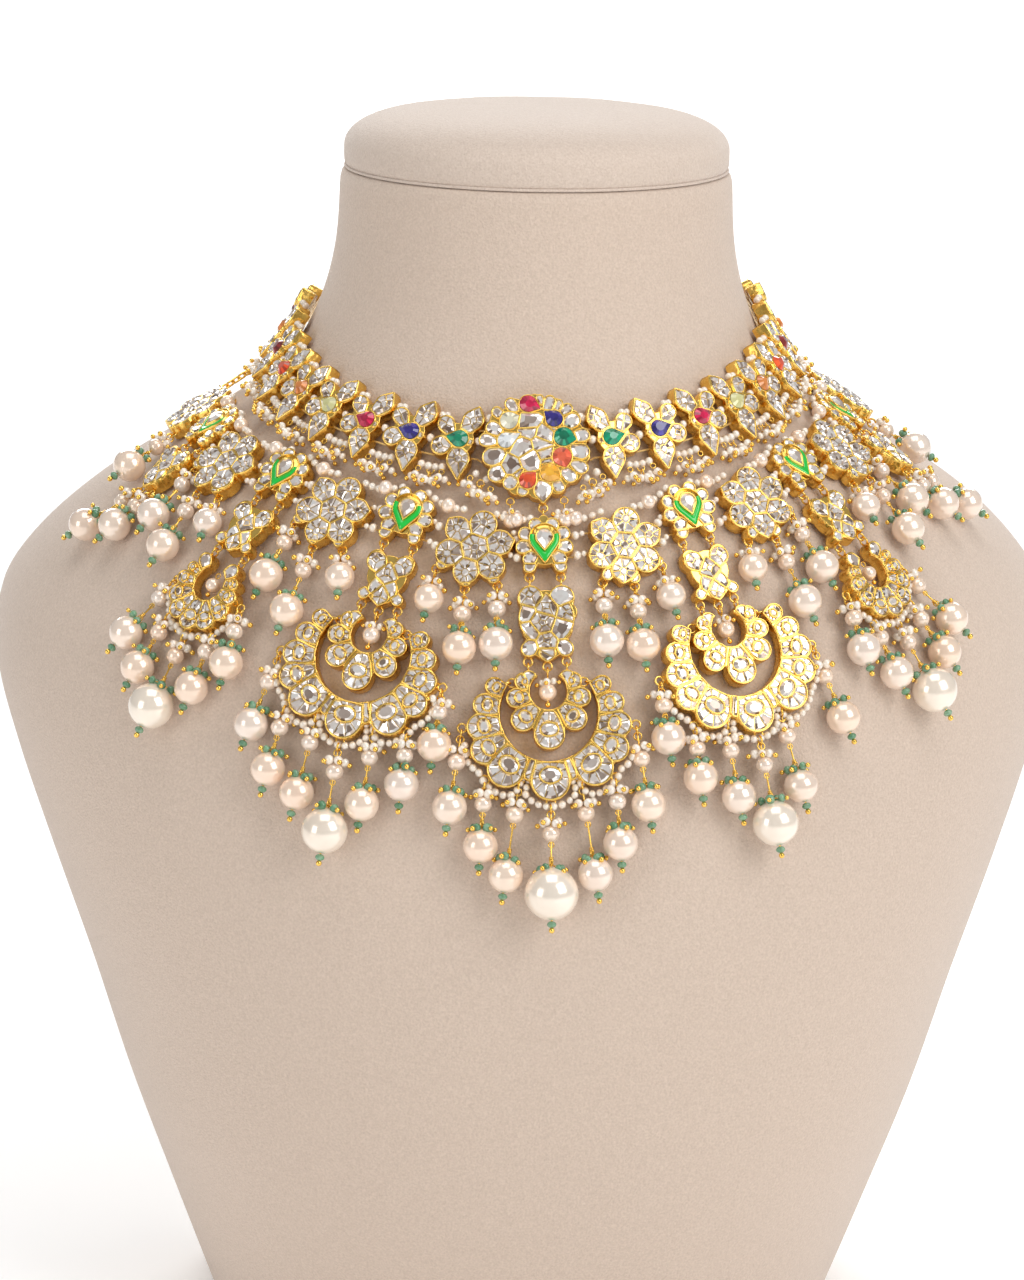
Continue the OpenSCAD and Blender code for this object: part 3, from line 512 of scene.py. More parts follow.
VELVET = shader("bust_velvet", (0.73, 0.59, 0.485), 0.86, tint=(0.58, 0.455, 0.365),
                tint_scale=1500.0, tint_amount=0.75, rough_swing=0.05, Sheen_Weight=0.35,
                Sheen_Roughness=0.45,
                bumps=(("noise", 1600.0, 0.7, 0.5), ("noise", 420.0, 0.3, 0.4),
                       ("noise", 60.0, 0.12, 0.8)))
CAP_VELVET = shader("cap_velvet", (0.74, 0.615, 0.52), 0.86, tint=(0.60, 0.48, 0.395),
                    tint_scale=1500.0, tint_amount=0.75, rough_swing=0.05, Sheen_Weight=0.4,
                    Sheen_Roughness=0.45,
                    bumps=(("noise", 1600.0, 0.7, 0.5), ("noise", 380.0, 0.3, 0.4),
                           ("noise", 70.0, 0.18, 1.2)))
GOLD = shader("gold_rims", (1.0, 0.71, 0.20), 0.18, metal=1.0, tint=(0.97, 0.58, 0.11),
              tint_scale=500.0, rough_swing=0.06, bumps=(("noise", 900.0, 0.18, 0.12),))
# The walls and backs are a darker, browner gold than the faces and rims: painted shade on the
# plaques' sides. The noise patches vary at random, and the hammer marks are bumps.
GOLD_WALL = shader("gold_walls", (0.97, 0.64, 0.16), 0.24, metal=1.0, tint=(0.72, 0.38, 0.06),
                   tint_scale=380.0, rough_swing=0.09,
                   bumps=(("cells", 650.0, 0.55, 0.5), ("noise", 1100.0, 0.3, 0.2)))
GOLD_BEAD = shader("gold_beads", (1.0, 0.68, 0.16), 0.18, metal=1.0, tint=(0.93, 0.53, 0.09),
                   tint_scale=600.0, rough_swing=0.05, bumps=(("noise", 1200.0, 0.12, 0.1),))
# Polki: the island stops paint each facet from dark brown to white, as painted reflections and
# glints. The noise tint varies the stone's tone at random.
POLKI = shader("polki", (1.0, 0.98, 0.96), 0.10, metal=0.55, tint=(0.86, 0.79, 0.74),
               tint_scale=600.0, tint_amount=0.8, rough_swing=0.05,
               islands=((0.20, 0.13, 0.09), (0.62, 0.53, 0.47), (0.97, 0.93, 0.90),
                        (1.0, 1.0, 0.99), (1.0, 1.0, 1.0)),
               bumps=(("noise", 1100.0, 0.2, 0.2),), Coat_Weight=0.7, Coat_Roughness=0.03)
RUBY = gem("ruby", (0.72, 0.01, 0.09), (0.32, 0.0, 0.03))
SAPPHIRE = gem("sapphire", (0.045, 0.03, 0.30), (0.01, 0.008, 0.08))
EMERALD = gem("emerald", (0.0, 0.34, 0.17), (0.0, 0.16, 0.08))
CORAL = gem("coral", (0.86, 0.17, 0.08), (0.70, 0.07, 0.03))
YELLOW = gem("yellow_stone", (0.95, 0.52, 0.05), (0.80, 0.33, 0.02))
FIRE = gem("orange_stone", (0.86, 0.12, 0.03), (0.62, 0.04, 0.01))
MOON = gem("moonstone", (0.86, 0.88, 0.88), (0.68, 0.71, 0.72))
CATSEYE = gem("cats_eye", (0.80, 0.77, 0.60), (0.68, 0.64, 0.46))
PERIDOT = gem("pale_green_stone", (0.72, 0.70, 0.36), (0.55, 0.52, 0.22))
GARNET = gem("garnet", (0.42, 0.03, 0.02), (0.16, 0.01, 0.01))
AMBER = gem("amber_stone", (0.80, 0.28, 0.05), (0.55, 0.14, 0.02))
ENAMEL = shader("green_enamel", (0.01, 0.60, 0.06), 0.12, tint=(0.0, 0.42, 0.03),
                tint_scale=300.0, rough_swing=0.03, Coat_Weight=0.7, Coat_Roughness=0.04,
                bumps=(("noise", 500.0, 0.1, 0.1),))
PEARL = shader("pearl", (1.0, 0.86, 0.73), 0.19, metal=0.30, tint=(0.98, 0.77, 0.62),
               tint_scale=110.0, tint_amount=0.7, rough_swing=0.05,
               islands=((1.0, 0.93, 0.88), (1.0, 0.97, 0.94), (0.96, 0.97, 1.0), (1.0, 0.92, 0.85)),
               bumps=(("noise", 260.0, 0.10, 0.5),), Coat_Weight=0.8, Coat_Roughness=0.08)
BIG_PEARL = shader("big_pearl", (1.0, 0.89, 0.76), 0.19, metal=0.32, tint=(0.97, 0.82, 0.67),
                   tint_scale=90.0, tint_amount=0.7, rough_swing=0.04,
                   bumps=(("noise", 240.0, 0.06, 0.5),), Coat_Weight=0.8, Coat_Roughness=0.07)
SEED = shader("seed_pearl", (1.0, 0.94, 0.86), 0.24, metal=0.15, tint=(0.94, 0.83, 0.71),
              tint_scale=420.0, tint_amount=0.7, rough_swing=0.06,
              islands=((1.0, 0.94, 0.90), (1.0, 1.0, 0.98), (0.95, 0.93, 0.92)),
              bumps=(("noise", 900.0, 0.18, 0.25),), Coat_Weight=0.8, Coat_Roughness=0.08)
JADE = shader("emerald_bead", (0.09, 0.26, 0.14), 0.18, tint=(0.26, 0.42, 0.28),
              tint_scale=700.0, tint_amount=0.8, rough_swing=0.06,
              islands=((0.65, 0.80, 0.70), (1.0, 1.0, 1.0), (1.35, 1.25, 1.25)),
              bumps=(("noise", 1200.0, 0.2, 0.2),), Coat_Weight=0.5, Coat_Roughness=0.08,
              Subsurface_Weight=0.2, Subsurface_Scale=0.001)
THREAD = shader("gold_thread", (0.75, 0.52, 0.20), 0.45, metal=0.5, tint=(0.55, 0.34, 0.12),
                tint_scale=1500.0, bumps=(("noise", 2500.0, 0.5, 0.2),))
FLOOR = shader("floor", (0.97, 0.97, 0.97), 0.75, tint=(0.96, 0.96, 0.96), tint_scale=3.0,
               rough_swing=0.03, Emission_Color=(1.0, 1.0, 1.0, 1.0), Emission_Strength=0.15)


# Meshes


class Piece:
    """Gathers the faces of one visible piece and makes its object."""

    def __init__(self, name):
        self.name, self.points, self.faces, self.slots, self.smooth = name, [], [], [], []
        self.materials, self.count = [], 0

    def add(self, points, faces, material, smooth=True):
        if material not in self.materials:
            self.materials.append(material)
        k = self.materials.index(material)
        points = np.asarray(points, float).reshape(-1, 3)
        self.points.append(points)
        n = self.count
        self.faces.extend([tuple(v + n for v in face) for face in faces])
        self.slots.extend([k] * len(faces))
        self.smooth.extend([smooth] * len(faces))
        self.count += len(points)

    def make(self, slot_name=None, nodes=()):
        mesh = bpy.data.meshes.new(self.name)
        mesh.from_pydata((np.concatenate(self.points) * MM).tolist(), [], self.faces)
        for material in self.materials:
            mesh.materials.append(material)
        mesh.polygons.foreach_set("material_index", self.slots)
        mesh.polygons.foreach_set("use_smooth", self.smooth)
        mesh.update()
        obj = bpy.data.objects.new(self.name, mesh)
        bpy.context.scene.collection.objects.link(obj)
        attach(obj, "root")
        if nodes:
            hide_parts(*nodes)
        return obj


def ball_shape(around, rows):
    """Unit sphere with its poles on z."""
    points = [(0, 0, 1)]
    for i in range(1, rows):
        t = math.pi * i / rows
        points += [(math.sin(t) * math.cos(2 * math.pi * k / around),
                    math.sin(t) * math.sin(2 * math.pi * k / around), math.cos(t))
                   for k in range(around)]
    points.append((0, 0, -1))
    last = len(points) - 1
    faces = [(0, 1 + k, 1 + (k + 1) % around) for k in range(around)]
    for i in range(rows - 2):
        a, b = 1 + i * around, 1 + (i + 1) * around
        faces += [(a + k, b + k, b + (k + 1) % around, a + (k + 1) % around)
                  for k in range(around)]
    a = 1 + (rows - 2) * around
    faces += [(last, a + (k + 1) % around, a + k) for k in range(around)]
    return np.array(points), faces


def ring_shape(radius, wire, around=16, tube=8, stretch=0.0):
    """Ring in the xy plane, stretched along x for a chain link."""
    points, faces = [], []
    for i in range(around):
        a = 2 * math.pi * i / around
        shift = math.copysign(stretch / 2, math.cos(a)) if abs(math.cos(a)) > 1e-6 else 0
        for k in range(tube):
            b = 2 * math.pi * k / tube
            r = radius + wire / 2 * math.cos(b)
            points.append((r * math.cos(a) + shift, r * math.sin(a), wire / 2 * math.sin(b)))
            faces.append((i * tube + k, (i + 1) % around * tube + k,
                          (i + 1) % around * tube + (k + 1) % tube, i * tube + (k + 1) % tube))
    return np.array(points), faces


def skin(rows, n, closed=True):
    """Quads between rows of n points, closed round them unless said otherwise."""
    return [(i * n + k, i * n + (k + 1) % n, (i + 1) * n + (k + 1) % n, (i + 1) * n + k)
            for i in range(rows - 1) for k in range(n if closed else n - 1)]


BALLS = {"fine": ball_shape(32, 20), "mid": ball_shape(20, 12), "seed": ball_shape(12, 8),
         "tiny": ball_shape(10, 7)}
RING = ring_shape(1.05, 0.42)
LOOP = ring_shape(0.75, 0.35, 12, 6)
COIL = ring_shape(0.52, 0.36, 12, 6)
LUG_SHAPE = ring_shape(RING_R, WIRE_D, 20, 8)
SLANT = np.array([0.31, 0.52, 0.79])
rng = random.Random(2239)


def basis(z):
    """Rows x, y, z of a frame whose z is given, its x near a fixed slanting way."""
    z = unit(np.asarray(z, float))
    x = unit(SLANT - z * (SLANT @ z))
    return np.array([x, np.cross(z, x), z])


def bead(piece, centre, d, material, shape, axis=(0, 0, 1), long=1.0):
    """A bead drilled along its axis, long as a share of its diameter."""
    points, faces = BALLS[shape]
    piece.add((points * [d / 2, d / 2, d / 2 * long]) @ basis(axis) + centre, faces, material)


def ring(piece, centre, axis, shape=RING, material=GOLD_BEAD):
    """A ring round an axis."""
    piece.add(shape[0] @ basis(axis) + centre, shape[1], material)


def stick(piece, a, b, d, material, sides):
    """A short straight wire."""
    w = basis(b - a)
    points = [p + d / 2 * (w[0] * math.cos(2 * math.pi * k / sides)
                           + w[1] * math.sin(2 * math.pi * k / sides))
              for p in (a, b) for k in range(sides)]
    faces = [(k, (k + 1) % sides, sides + (k + 1) % sides, sides + k) for k in range(sides)]
    faces += [tuple(range(sides - 1, -1, -1)), tuple(range(sides, 2 * sides))]
    piece.add(points, faces, material)


# Flat shapes: convex polygons as (n, 2) arrays, anticlockwise


class Lobe:
    """A round petal (x, y, r), drawn out to a tip if it has one. kind says what fills it."""

    def __init__(self, x, y, r, tip=None, kind="polki", parts=5, gem=None, grow=0.0):
        self.c, self.r, self.grow = np.array([x, y], float), r, grow
        self.tip = None if tip is None else np.array(tip, float)
        self.kind, self.parts, self.gem = kind, parts, gem

    def outline(self, grow=0.0, n=28):
        r = self.r + grow
        if self.tip is None:
            return self.c + r * np.array([(cos(360 * k / n), sin(360 * k / n)) for k in range(n)])
        way = self.tip - self.c
        length = np.linalg.norm(way)
        a0 = math.degrees(math.atan2(way[1], way[0]))
        tip = self.tip + way / length * grow * 1.15
        a = math.degrees(math.acos(min(0.98, r / np.linalg.norm(tip - self.c))))
        arc = [a0 + a + (360 - 2 * a) * k / (n - 2) for k in range(n - 1)]
        return np.array([tip] + [self.c + r * np.array([cos(t), sin(t)]) for t in arc])


def lobe_at(size, x, y, r, parts=1, tip=None, side=1, **more):
    """A lobe placed by shares of a size, mirrored for the other side."""
    if tip is not None:
        tip = (tip[0] * side * size, tip[1] * size)
    return Lobe(x * side * size, y * size, r * size, tip=tip, parts=parts, **more)


def clip(poly, point, out):
    """The part of a convex polygon on the inner side of a line through point; out points away."""
    side = (poly - point) @ out
    made = []
    n = len(poly)
    for i in range(n):
        j = (i + 1) % n
        if side[i] <= 0:
            made.append(poly[i])
        if (side[i] < 0) != (side[j] < 0) and side[i] != side[j]:
            t = side[i] / (side[i] - side[j])
            if 0 < t < 1:
                made.append(poly[i] + (poly[j] - poly[i]) * t)
    return np.array(made).reshape(-1, 2)


def area(poly):
    """Signed area of a flat polygon."""
    x, y = poly[:, 0], poly[:, 1]
    return 0.5 * float(np.sum(x * np.roll(y, -1) - y * np.roll(x, -1)))


def within(poly, rim, d=0.0):
    """The part of a convex polygon that lies inside another one, d in from its sides."""
    for i in range(len(rim)):
        e = rim[(i + 1) % len(rim)] - rim[i]
        length = np.linalg.norm(e)
        if length > 1e-6 and len(poly) > 2:
            out = np.array([e[1], -e[0]]) / length
            poly = clip(poly, rim[i] - out * d, out)
    return poly


def inset(poly, d):
    """A convex polygon with its sides moved in by d."""
    return within(poly, poly, d)


def spokes(angles):
    """Unit directions at angles in radians."""
    return np.column_stack([np.cos(angles), np.sin(angles)])


def raised(flat, z):
    """Flat points at a height."""
    return np.column_stack([flat, np.full(len(flat), z)])


def far_hits(origin, ways, polys):
    """Furthest and nearest distance along each way to the polygons' edges, 0 and 1e9 if none."""
    far = np.zeros(len(ways))
    near = np.full(len(ways), 1e9)
    for poly in polys:
        a = poly - origin
        e = np.roll(a, -1, axis=0) - a
        det = ways[:, 0:1] * -e[None, :, 1] + ways[:, 1:2] * e[None, :, 0]
        det = np.where(np.abs(det) < 1e-12, 1e-12, det)
        t = (a[None, :, 0] * -e[None, :, 1] + a[None, :, 1] * e[None, :, 0]) / det
        s = (ways[:, 0:1] * a[None, :, 1] - ways[:, 1:2] * a[None, :, 0]) / det
        ok = (s >= -1e-9) & (s <= 1 + 1e-9) & (t > 0)
        far = np.maximum(far, np.where(ok, t, 0).max(axis=1))
        near = np.minimum(near, np.where(ok, t, 1e9).min(axis=1))
    return far, near


def evenly(poly, n):
    """n points at even lengths along a closed outline."""
    closed = np.vstack([poly, poly[:1]])
    run = run_along(closed)
    s = np.linspace(0, run[-1], n, endpoint=False)
    return np.column_stack([np.interp(s, run, closed[:, 0]), np.interp(s, run, closed[:, 1])])


# Columns: share of the rim's width; share of its height
RIM_PROFILE = [(-0.5, -0.3), (-0.38, 0.75), (0.0, 1.0), (0.38, 0.75), (0.5, -0.3)]


def band(piece, f, line, z, w, h):
    """A rounded gold rim of width w and height h along a closed flat line."""
    t = np.roll(line, -1, axis=0) - np.roll(line, 1, axis=0)
    t /= np.maximum(np.linalg.norm(t, axis=1), 1e-9)[:, None]
    out = np.column_stack([t[:, 1], -t[:, 0]])
    n, m = len(line), len(RIM_PROFILE)
    points = np.empty((n, m, 3))
    for k, (x, y) in enumerate(RIM_PROFILE):
        points[:, k, :2] = line + out * (x * w)
        points[:, k, 2] = z + y * h
    faces = [(i * m + k, i * m + k + 1, (i + 1) % n * m + k + 1, (i + 1) % n * m + k)
             for i in range(n) for k in range(m - 1)]
    piece.add(f.world(points.reshape(-1, 3)), faces, GOLD)


def corners(poly, least):
    """The polygon's own corners, with its longest sides halved until there are enough."""
    made = [poly[0]]
    for q in poly[1:]:
        if np.linalg.norm(q - made[-1]) > FACET_LEAST:
            made.append(q)
    while len(made) > 3 and np.linalg.norm(made[0] - made[-1]) < FACET_LEAST:
        made.pop()
    while len(made) < least:
        sides = [np.linalg.norm(made[(i + 1) % len(made)] - made[i]) for i in range(len(made))]
        i = int(np.argmax(sides))
        made.insert(i + 1, (made[i] + made[(i + 1) % len(made)]) / 2)
    return np.array(made)


def cut_stone(piece, f, poly, z, h, material, facets, tilt, table=0.6):
    """A foiled stone: upright girdle, a ring of crown facets and a tilted table."""
    if len(poly) < 3 or area(poly) < STONE_LEAST:
        return
    base = corners(poly, facets) if len(poly) < 14 else evenly(poly, facets)
    n = len(base)
    c = base.mean(axis=0)
    share = table + rng.uniform(-0.07, 0.07)
    shift = math.sqrt(area(poly)) * 0.05
    top = c + (base - c) * share + np.array([rng.uniform(-shift, shift) for _ in range(2)])
    slope = np.array([math.tan(math.radians(rng.uniform(-tilt, tilt))) for _ in range(2)])
    table_z = z + h + (top - c) @ slope
    points = f.world(np.vstack([raised(base, z - 0.3), raised(base, z + h * 0.3),
                                np.column_stack([top, table_z])]))
    faces = [tuple(2 * n + i for i in range(n))]
    for i in range(n):
        j = (i + 1) % n
        faces += [(n + i, n + j, 2 * n + j, 2 * n + i), (i, j, n + j, n + i)]
    # Each facet keeps its own corners, so that the material can paint it darker or brighter by
    # itself: painted reflections and glints on the stone
    order = [k for face in faces for k in face]
    starts = np.cumsum([0] + [len(face) for face in faces])
    piece.add(points[order], [tuple(range(starts[i], starts[i + 1])) for i in range(len(faces))],
              material, smooth=False)


def split(poly, parts):
    """Shares a convex cell out between stones, as a ring of places round the middle."""
    if parts <= 1:
        return [poly]
    c = poly.mean(axis=0)
    ring_n = parts if parts < 5 else parts - 1
    turn = rng.uniform(0, 360)
    seeds = [] if parts < 5 else [c + np.array([rng.uniform(-0.2, 0.2), rng.uniform(-0.2, 0.2)])]
    ways = np.array([(cos(turn + 360 * k / ring_n + rng.uniform(-9, 9)),
                      sin(turn + 360 * k / ring_n + rng.uniform(-9, 9))) for k in range(ring_n)])
    far, _ = far_hits(c, ways, [poly])
    seeds += [c + ways[k] * far[k] * rng.uniform(0.58, 0.7) for k in range(ring_n)]
    made = []
    for i, a in enumerate(seeds):
        cell = poly
        for j, b in enumerate(seeds):
            if i != j and len(cell) > 2:
                cell = clip(cell, (a + b) / 2, unit(b - a))
        if len(cell) > 2:
            made.append(cell)
    return made


FACE = PLATE_T * 0.93


def hull(points):
    """Convex hull of flat points, anticlockwise."""
    ordered = sorted(map(tuple, points))

    def half(row):
        made = []
        for q in row:
            while len(made) > 1 and ((made[-1][0] - made[-2][0]) * (q[1] - made[-2][1])
                                     - (made[-1][1] - made[-2][1]) * (q[0] - made[-2][0])) <= 0:
                made.pop()
            made.append(q)
        return made[:-1]
    return np.array(half(ordered) + half(ordered[::-1]))


def cells(lobes, middle=(0.0, 0.0), edge=0.36):
    """Shares the face out: each lobe drawn in to the middle, cut half way to its neighbours."""
    middle = np.array(middle, float)
    bodies = [b for b in lobes if b.kind == "body"]
    others = [(b.c, b.r, b.kind in ("gem", "bed"), b) for b in lobes if b.kind != "body"]
    others += [(b.c + (b.tip - b.c) * 0.6, b.r * 0.42, True, b) for b in lobes
               if b.tip is not None and b.kind == "gem"]
    made = []
    for a in lobes:
        if a.kind in ("body", "bed"):
            continue
        if a.kind == "gem":
            made.append((a, a.outline()))
            continue
        poly = a.outline(a.grow - edge)
        poly = hull(np.vstack([poly, middle + 0.2 * (poly - middle)]))
        if a.grow > 0 and bodies:
            holder = max(bodies, key=lambda b: b.r - np.linalg.norm(b.c - a.c))
            poly = within(poly, holder.outline(-edge))
        for c, r, firm, b in others:
            gap = np.linalg.norm(c - a.c)
            if b is a or len(poly) < 3 or gap < 1e-6:
                continue
            way = (c - a.c) / gap
            share = gap - r * 0.98 if firm else (gap * gap + a.r * a.r - r * r) / (2 * gap)
            poly = clip(poly, a.c + way * share, way)
        if len(poly) > 2 and area(poly) > 0.5:
            made.append((a, poly))
    return made


def fill(piece, f, lobe, poly, gems=None, middle=None):
    """Rim and stones of one cell. Its middle is the pendant's, which scallops point to."""
    line = inset(poly, CELL_GAP)
    if len(line) < 3:
        return
    n = max(18, int(math.sqrt(max(area(line), 1.0)) * 9))
    band(piece, f, evenly(line, n), FACE, RIM_W, RIM_H)
    inner = inset(line, RIM_W * 0.38)
    if len(inner) < 3:
        return
    if lobe.kind == "gem":
        cut_stone(gems, f, inner, FACE + 0.1, RAISED_H, lobe.gem, 16, 3.0, table=0.5)
    elif lobe.kind == "scallop":
        fan(piece, f, inner, middle, lobe)
    else:
        parts = 1 if lobe.parts == 1 else max(2, int(round(area(inner) / AREA_PER_STONE)))
        gap, facets = (STONE_GAP, 8) if parts > 1 else (0.02, 12)
        for part in split(inner, parts):
            cut_stone(piece, f, inset(part, gap), FACE, POLKI_H, POLKI, facets, 7.0)


def fan(piece, f, poly, middle, lobe):
    """A scallop: an oval stone towards the pendant's middle and petals fanned round it."""
    in_way = unit(middle - lobe.c)
    side_way = np.array([-in_way[1], in_way[0]])
    a0 = math.degrees(math.atan2(-in_way[1], -in_way[0]))
    r = min(lobe.r, math.sqrt(area(poly) / math.pi))
    centre = lobe.c + in_way * r * 0.30
    oval = hull([centre + side_way * r * 0.58 * cos(t) + in_way * r * 0.44 * sin(t)
                 for t in range(0, 360, 20)])
    band(piece, f, evenly(oval, 22), FACE, 0.52, 0.80)
    cut_stone(piece, f, inset(oval, 0.17), FACE + 0.2, OVAL_H, POLKI, 10, 6.0)
    turns = [a0 - 112.0 + 224.0 * k / lobe.parts for k in range(lobe.parts + 1)]
    turns = [a0 - 180, a0 - 146] + turns + [a0 + 146, a0 + 180]
    for lo, hi in zip(turns, turns[1:]):
        ways = np.array([(cos(t), sin(t)) for t in (lo, (lo + hi) / 2, hi)])
        far, _ = far_hits(centre, ways, [poly])
        near = far_hits(centre, ways, [oval])[0] + 0.2
        if (far - near).max() < 0.5:
            continue
        far = np.maximum(far, near + 0.1)
        reach = [(0, near), (0, far), (1, far), (2, far), (2, near)]
        stone = inset(hull([centre + ways[k] * length[k] for k, length in reach]), STONE_GAP)
        if len(stone) > 2 and area(stone) > 0.3:
            cut_stone(piece, f, stone, FACE, PETAL_H, POLKI, 8, 8.0)


# A plaque's levels from the back up. Columns: share of the thickness; growth of the outline
LEVELS = [(0.0, -0.30), (0.10, -0.05), (0.42, 0.0), (0.70, -0.08), (0.86, -0.20),
          (0.94, -0.34), (0.93, -0.55)]


def wobble(angles, seed):
    """Unevenness of a hammered wall."""
    return 0.07 * np.sin(angles * 9 + seed) * np.sin(angles * 23 + 2.1 * seed)


def solid_body(piece, f, loops, strip=False):
    """Skins loops of equal length from the back up, then closes both faces."""
    n = len(loops[0])
    piece.add(f.world(np.concatenate(loops)), skin(len(loops), n), GOLD_WALL)
    for loop, way, material in ((loops[-1], 1, GOLD), (loops[0], -1, GOLD_WALL)):
        if strip:
            faces = [(k, k + 1, n - 2 - k, n - 1 - k) for k in range(n // 2 - 1)]
        else:
            faces = [(k, (k + 1) % n, n) for k in range(n)]
            loop = np.vstack([loop, loop.mean(axis=0)])
        piece.add(f.world(loop), [face[::way] for face in faces], material)


def star_body(piece, f, lobes, n):
    """Tapered body of a plaque whose outline can be seen whole from its middle."""
    angles = np.linspace(0, 2 * math.pi, n, endpoint=False)
    ways = spokes(angles)
    loops = []
    for level, (z, grow) in enumerate(LEVELS):
        far, _ = far_hits(np.zeros(2), ways, [b.outline(grow) for b in lobes])
        if 0 < level < 4:
            far = far + wobble(angles, level + len(lobes)) - HAMMER
        loops.append(raised(ways * far[:, None], z * PLATE_T))
    solid_body(piece, f, loops)


def arc_body(piece, f, lobes, origin, void_r, last, cut_y):
    """Tapered body of a crescent round a void."""
    n = 110
    angles = np.radians(np.linspace(-180 - last, last, n))
    ways = spokes(angles)
    loops = []
    for level, (z, grow) in enumerate(LEVELS):
        rounds = [b.outline(grow) for b in lobes if b.kind != "body"]
        far, near = far_hits(origin, ways, rounds)
        body, _ = far_hits(origin, ways, [b.outline(grow) for b in lobes if b.kind == "body"])
        hole = np.full(n, void_r - grow)
        low = origin[1] + ways[:, 1] * body < cut_y
        outer = np.where(low, np.maximum(far, body), far)
        inner = np.where(origin[1] + ways[:, 1] * hole < cut_y, hole,
                         np.maximum(hole, np.where(near < 1e8, near, hole)))
        outer = np.maximum(outer, inner + 0.3)
        if 0 < level < 4:
            outer = outer + wobble(angles, level + 3) - HAMMER
        loop = np.vstack([origin + ways * outer[:, None], (origin + ways * inner[:, None])[::-1]])
        loops.append(raised(loop, z * PLATE_T))
    solid_body(piece, f, loops, strip=True)


def lug(piece, f, x, y, way=(0, 0, 1)):
    """A soldered ring of the CAD, in the plaque's plane or across it."""
    ring(piece, f.world([x, y, RING_Z]), np.asarray(way, float) @ f.axes, LUG_SHAPE, GOLD)


def plaque(name, f, lobes, lugs=(), gems=None, n=150):
    """A star-shaped plaque with its cells, stones and rings."""
    piece = Piece(name + "_set")
    star_body(piece, f, lobes, n)
    for lobe, poly in cells(lobes):
        fill(piece, f, lobe, poly, gems)
    for spot in lugs:
        lug(piece, f, *spot)
    return piece


# Bust


def bust():
    """Velvet cover, drawn in at its top under the cap."""
    around = 200
    rows = [*np.linspace(0, 0.50 * BUST_H, 40), *np.linspace(0.50 * BUST_H, BUST_H - 3.2, 108)[1:]]
    points = [at((360.0 * k / around, z)) for z in rows for k in range(around)]
    # Columns: depth under the top; draw towards the axis
    for depth, draw in ((2.2, 0.10), (1.2, 0.35), (0.5, 0.9), (0.05, 2.0)):
        for k in range(around):
            p = at((360.0 * k / around, BUST_H - 0.5))
            share = 1 - draw / math.hypot(p[0], p[1])
            points.append((p[0] * share, p[1] * share, BUST_H - depth))
    m = len(points) // around
    faces = skin(m, around)
    faces += [tuple(range(around - 1, -1, -1)), tuple(range((m - 1) * around, m * around))]
    piece = Piece("bust_cover")
    piece.add(points, faces, VELVET)
    piece.make("bust_cloth", ["bust"])


def cap():
    """Padded cap, with piping over its seam."""
    around, r = 128, NECK_R * 0.985
    # Columns: radius; height over the bust
    profile = [(r - 2.6, 0.05), (r - 1.3, 0.25), (r - 0.5, 0.9), (r - 0.12, 1.9), (r, 3.2),
               (r, CAP_EDGE)]
    profile += [(r * cos(a) ** 0.5, CAP_EDGE + CAP_RISE * sin(a) ** 0.9) for a in range(5, 90, 4)]
    points = []
    for radius, z in profile:
        for k in range(around):
            a = 360 * k / around
            padding = 0.10 * sin(5 * a) * sin(3 * a + 40) - 0.12 if z > CAP_EDGE + 2 else 0.0
            points.append((radius * cos(a), radius * sin(a), BUST_H + z + padding))
    m = len(profile)
    top = (m - 1) * around
    points.append((0, 0, BUST_H + CAP_EDGE + CAP_RISE - 0.12))
    faces = skin(m, around) + [tuple(range(around - 1, -1, -1))]
    faces += [(top + k, top + (k + 1) % around, m * around) for k in range(around)]
    piece = Piece("cap_cover")
    piece.add(points, faces, CAP_VELVET)
    piping, piping_faces = ring_shape(r - 0.45, 0.9, 160, 8)
    piece.add(piping + np.array([0, 0, BUST_H + 0.42]), piping_faces, CAP_VELVET)
    piece.make("cap_cloth", ["bust_cap"])


bust()
cap()

# Choker

# Columns: x, y and radius as shares of the plaque's width; tip; material
CENTRE_GEMS = [
    (-0.060, 0.395, 0.084, (0.060, 0.345), RUBY), (0.170, 0.250, 0.082, (0.075, 0.330), SAPPHIRE),
    (0.250, 0.080, 0.094, (0.370, 0.050), EMERALD), (0.230, -0.105, 0.092, (0.265, -0.215), CORAL),
    (0.115, -0.255, 0.090, (0.215, -0.315), YELLOW), (-0.085, -0.320, 0.082, (0.000, -0.240), FIRE),
    (-0.270, 0.055, 0.078, (-0.120, 0.125), MOON), (-0.235, 0.240, 0.086, (-0.135, 0.290), CATSEYE)]
# Columns: x, y and radius as shares of the plaque's width
EDGE_POLKI = [
    (-0.215, 0.400, 0.060), (-0.340, 0.325, 0.055), (0.135, 0.420, 0.058), (0.290, 0.345, 0.055),
    (0.335, 0.235, 0.075), (0.420, 0.095, 0.070), (0.405, -0.060, 0.080), (0.400, -0.210, 0.066),
    (0.300, -0.290, 0.066), (-0.240, -0.340, 0.070), (-0.360, -0.255, 0.082),
    (-0.395, -0.095, 0.092), (-0.445, 0.065, 0.068), (-0.380, 0.175, 0.070),
    (-0.130, -0.415, 0.058), (0.195, -0.385, 0.060), (0.045, 0.440, 0.046),
    (0.215, 0.395, 0.044)]
INNER_POLKI = [
    (-0.065, 0.250, 0.088), (-0.06, 0.150, 0.040), (0.095, 0.110, 0.070), (0.055, 0.020, 0.055),
    (0.085, -0.075, 0.050), (-0.060, -0.135, 0.080), (-0.225, -0.185, 0.080),
    (-0.130, -0.020, 0.075), (0.105, -0.160, 0.042), (-0.165, -0.260, 0.045), (0.150, 0.175, 0.042)]


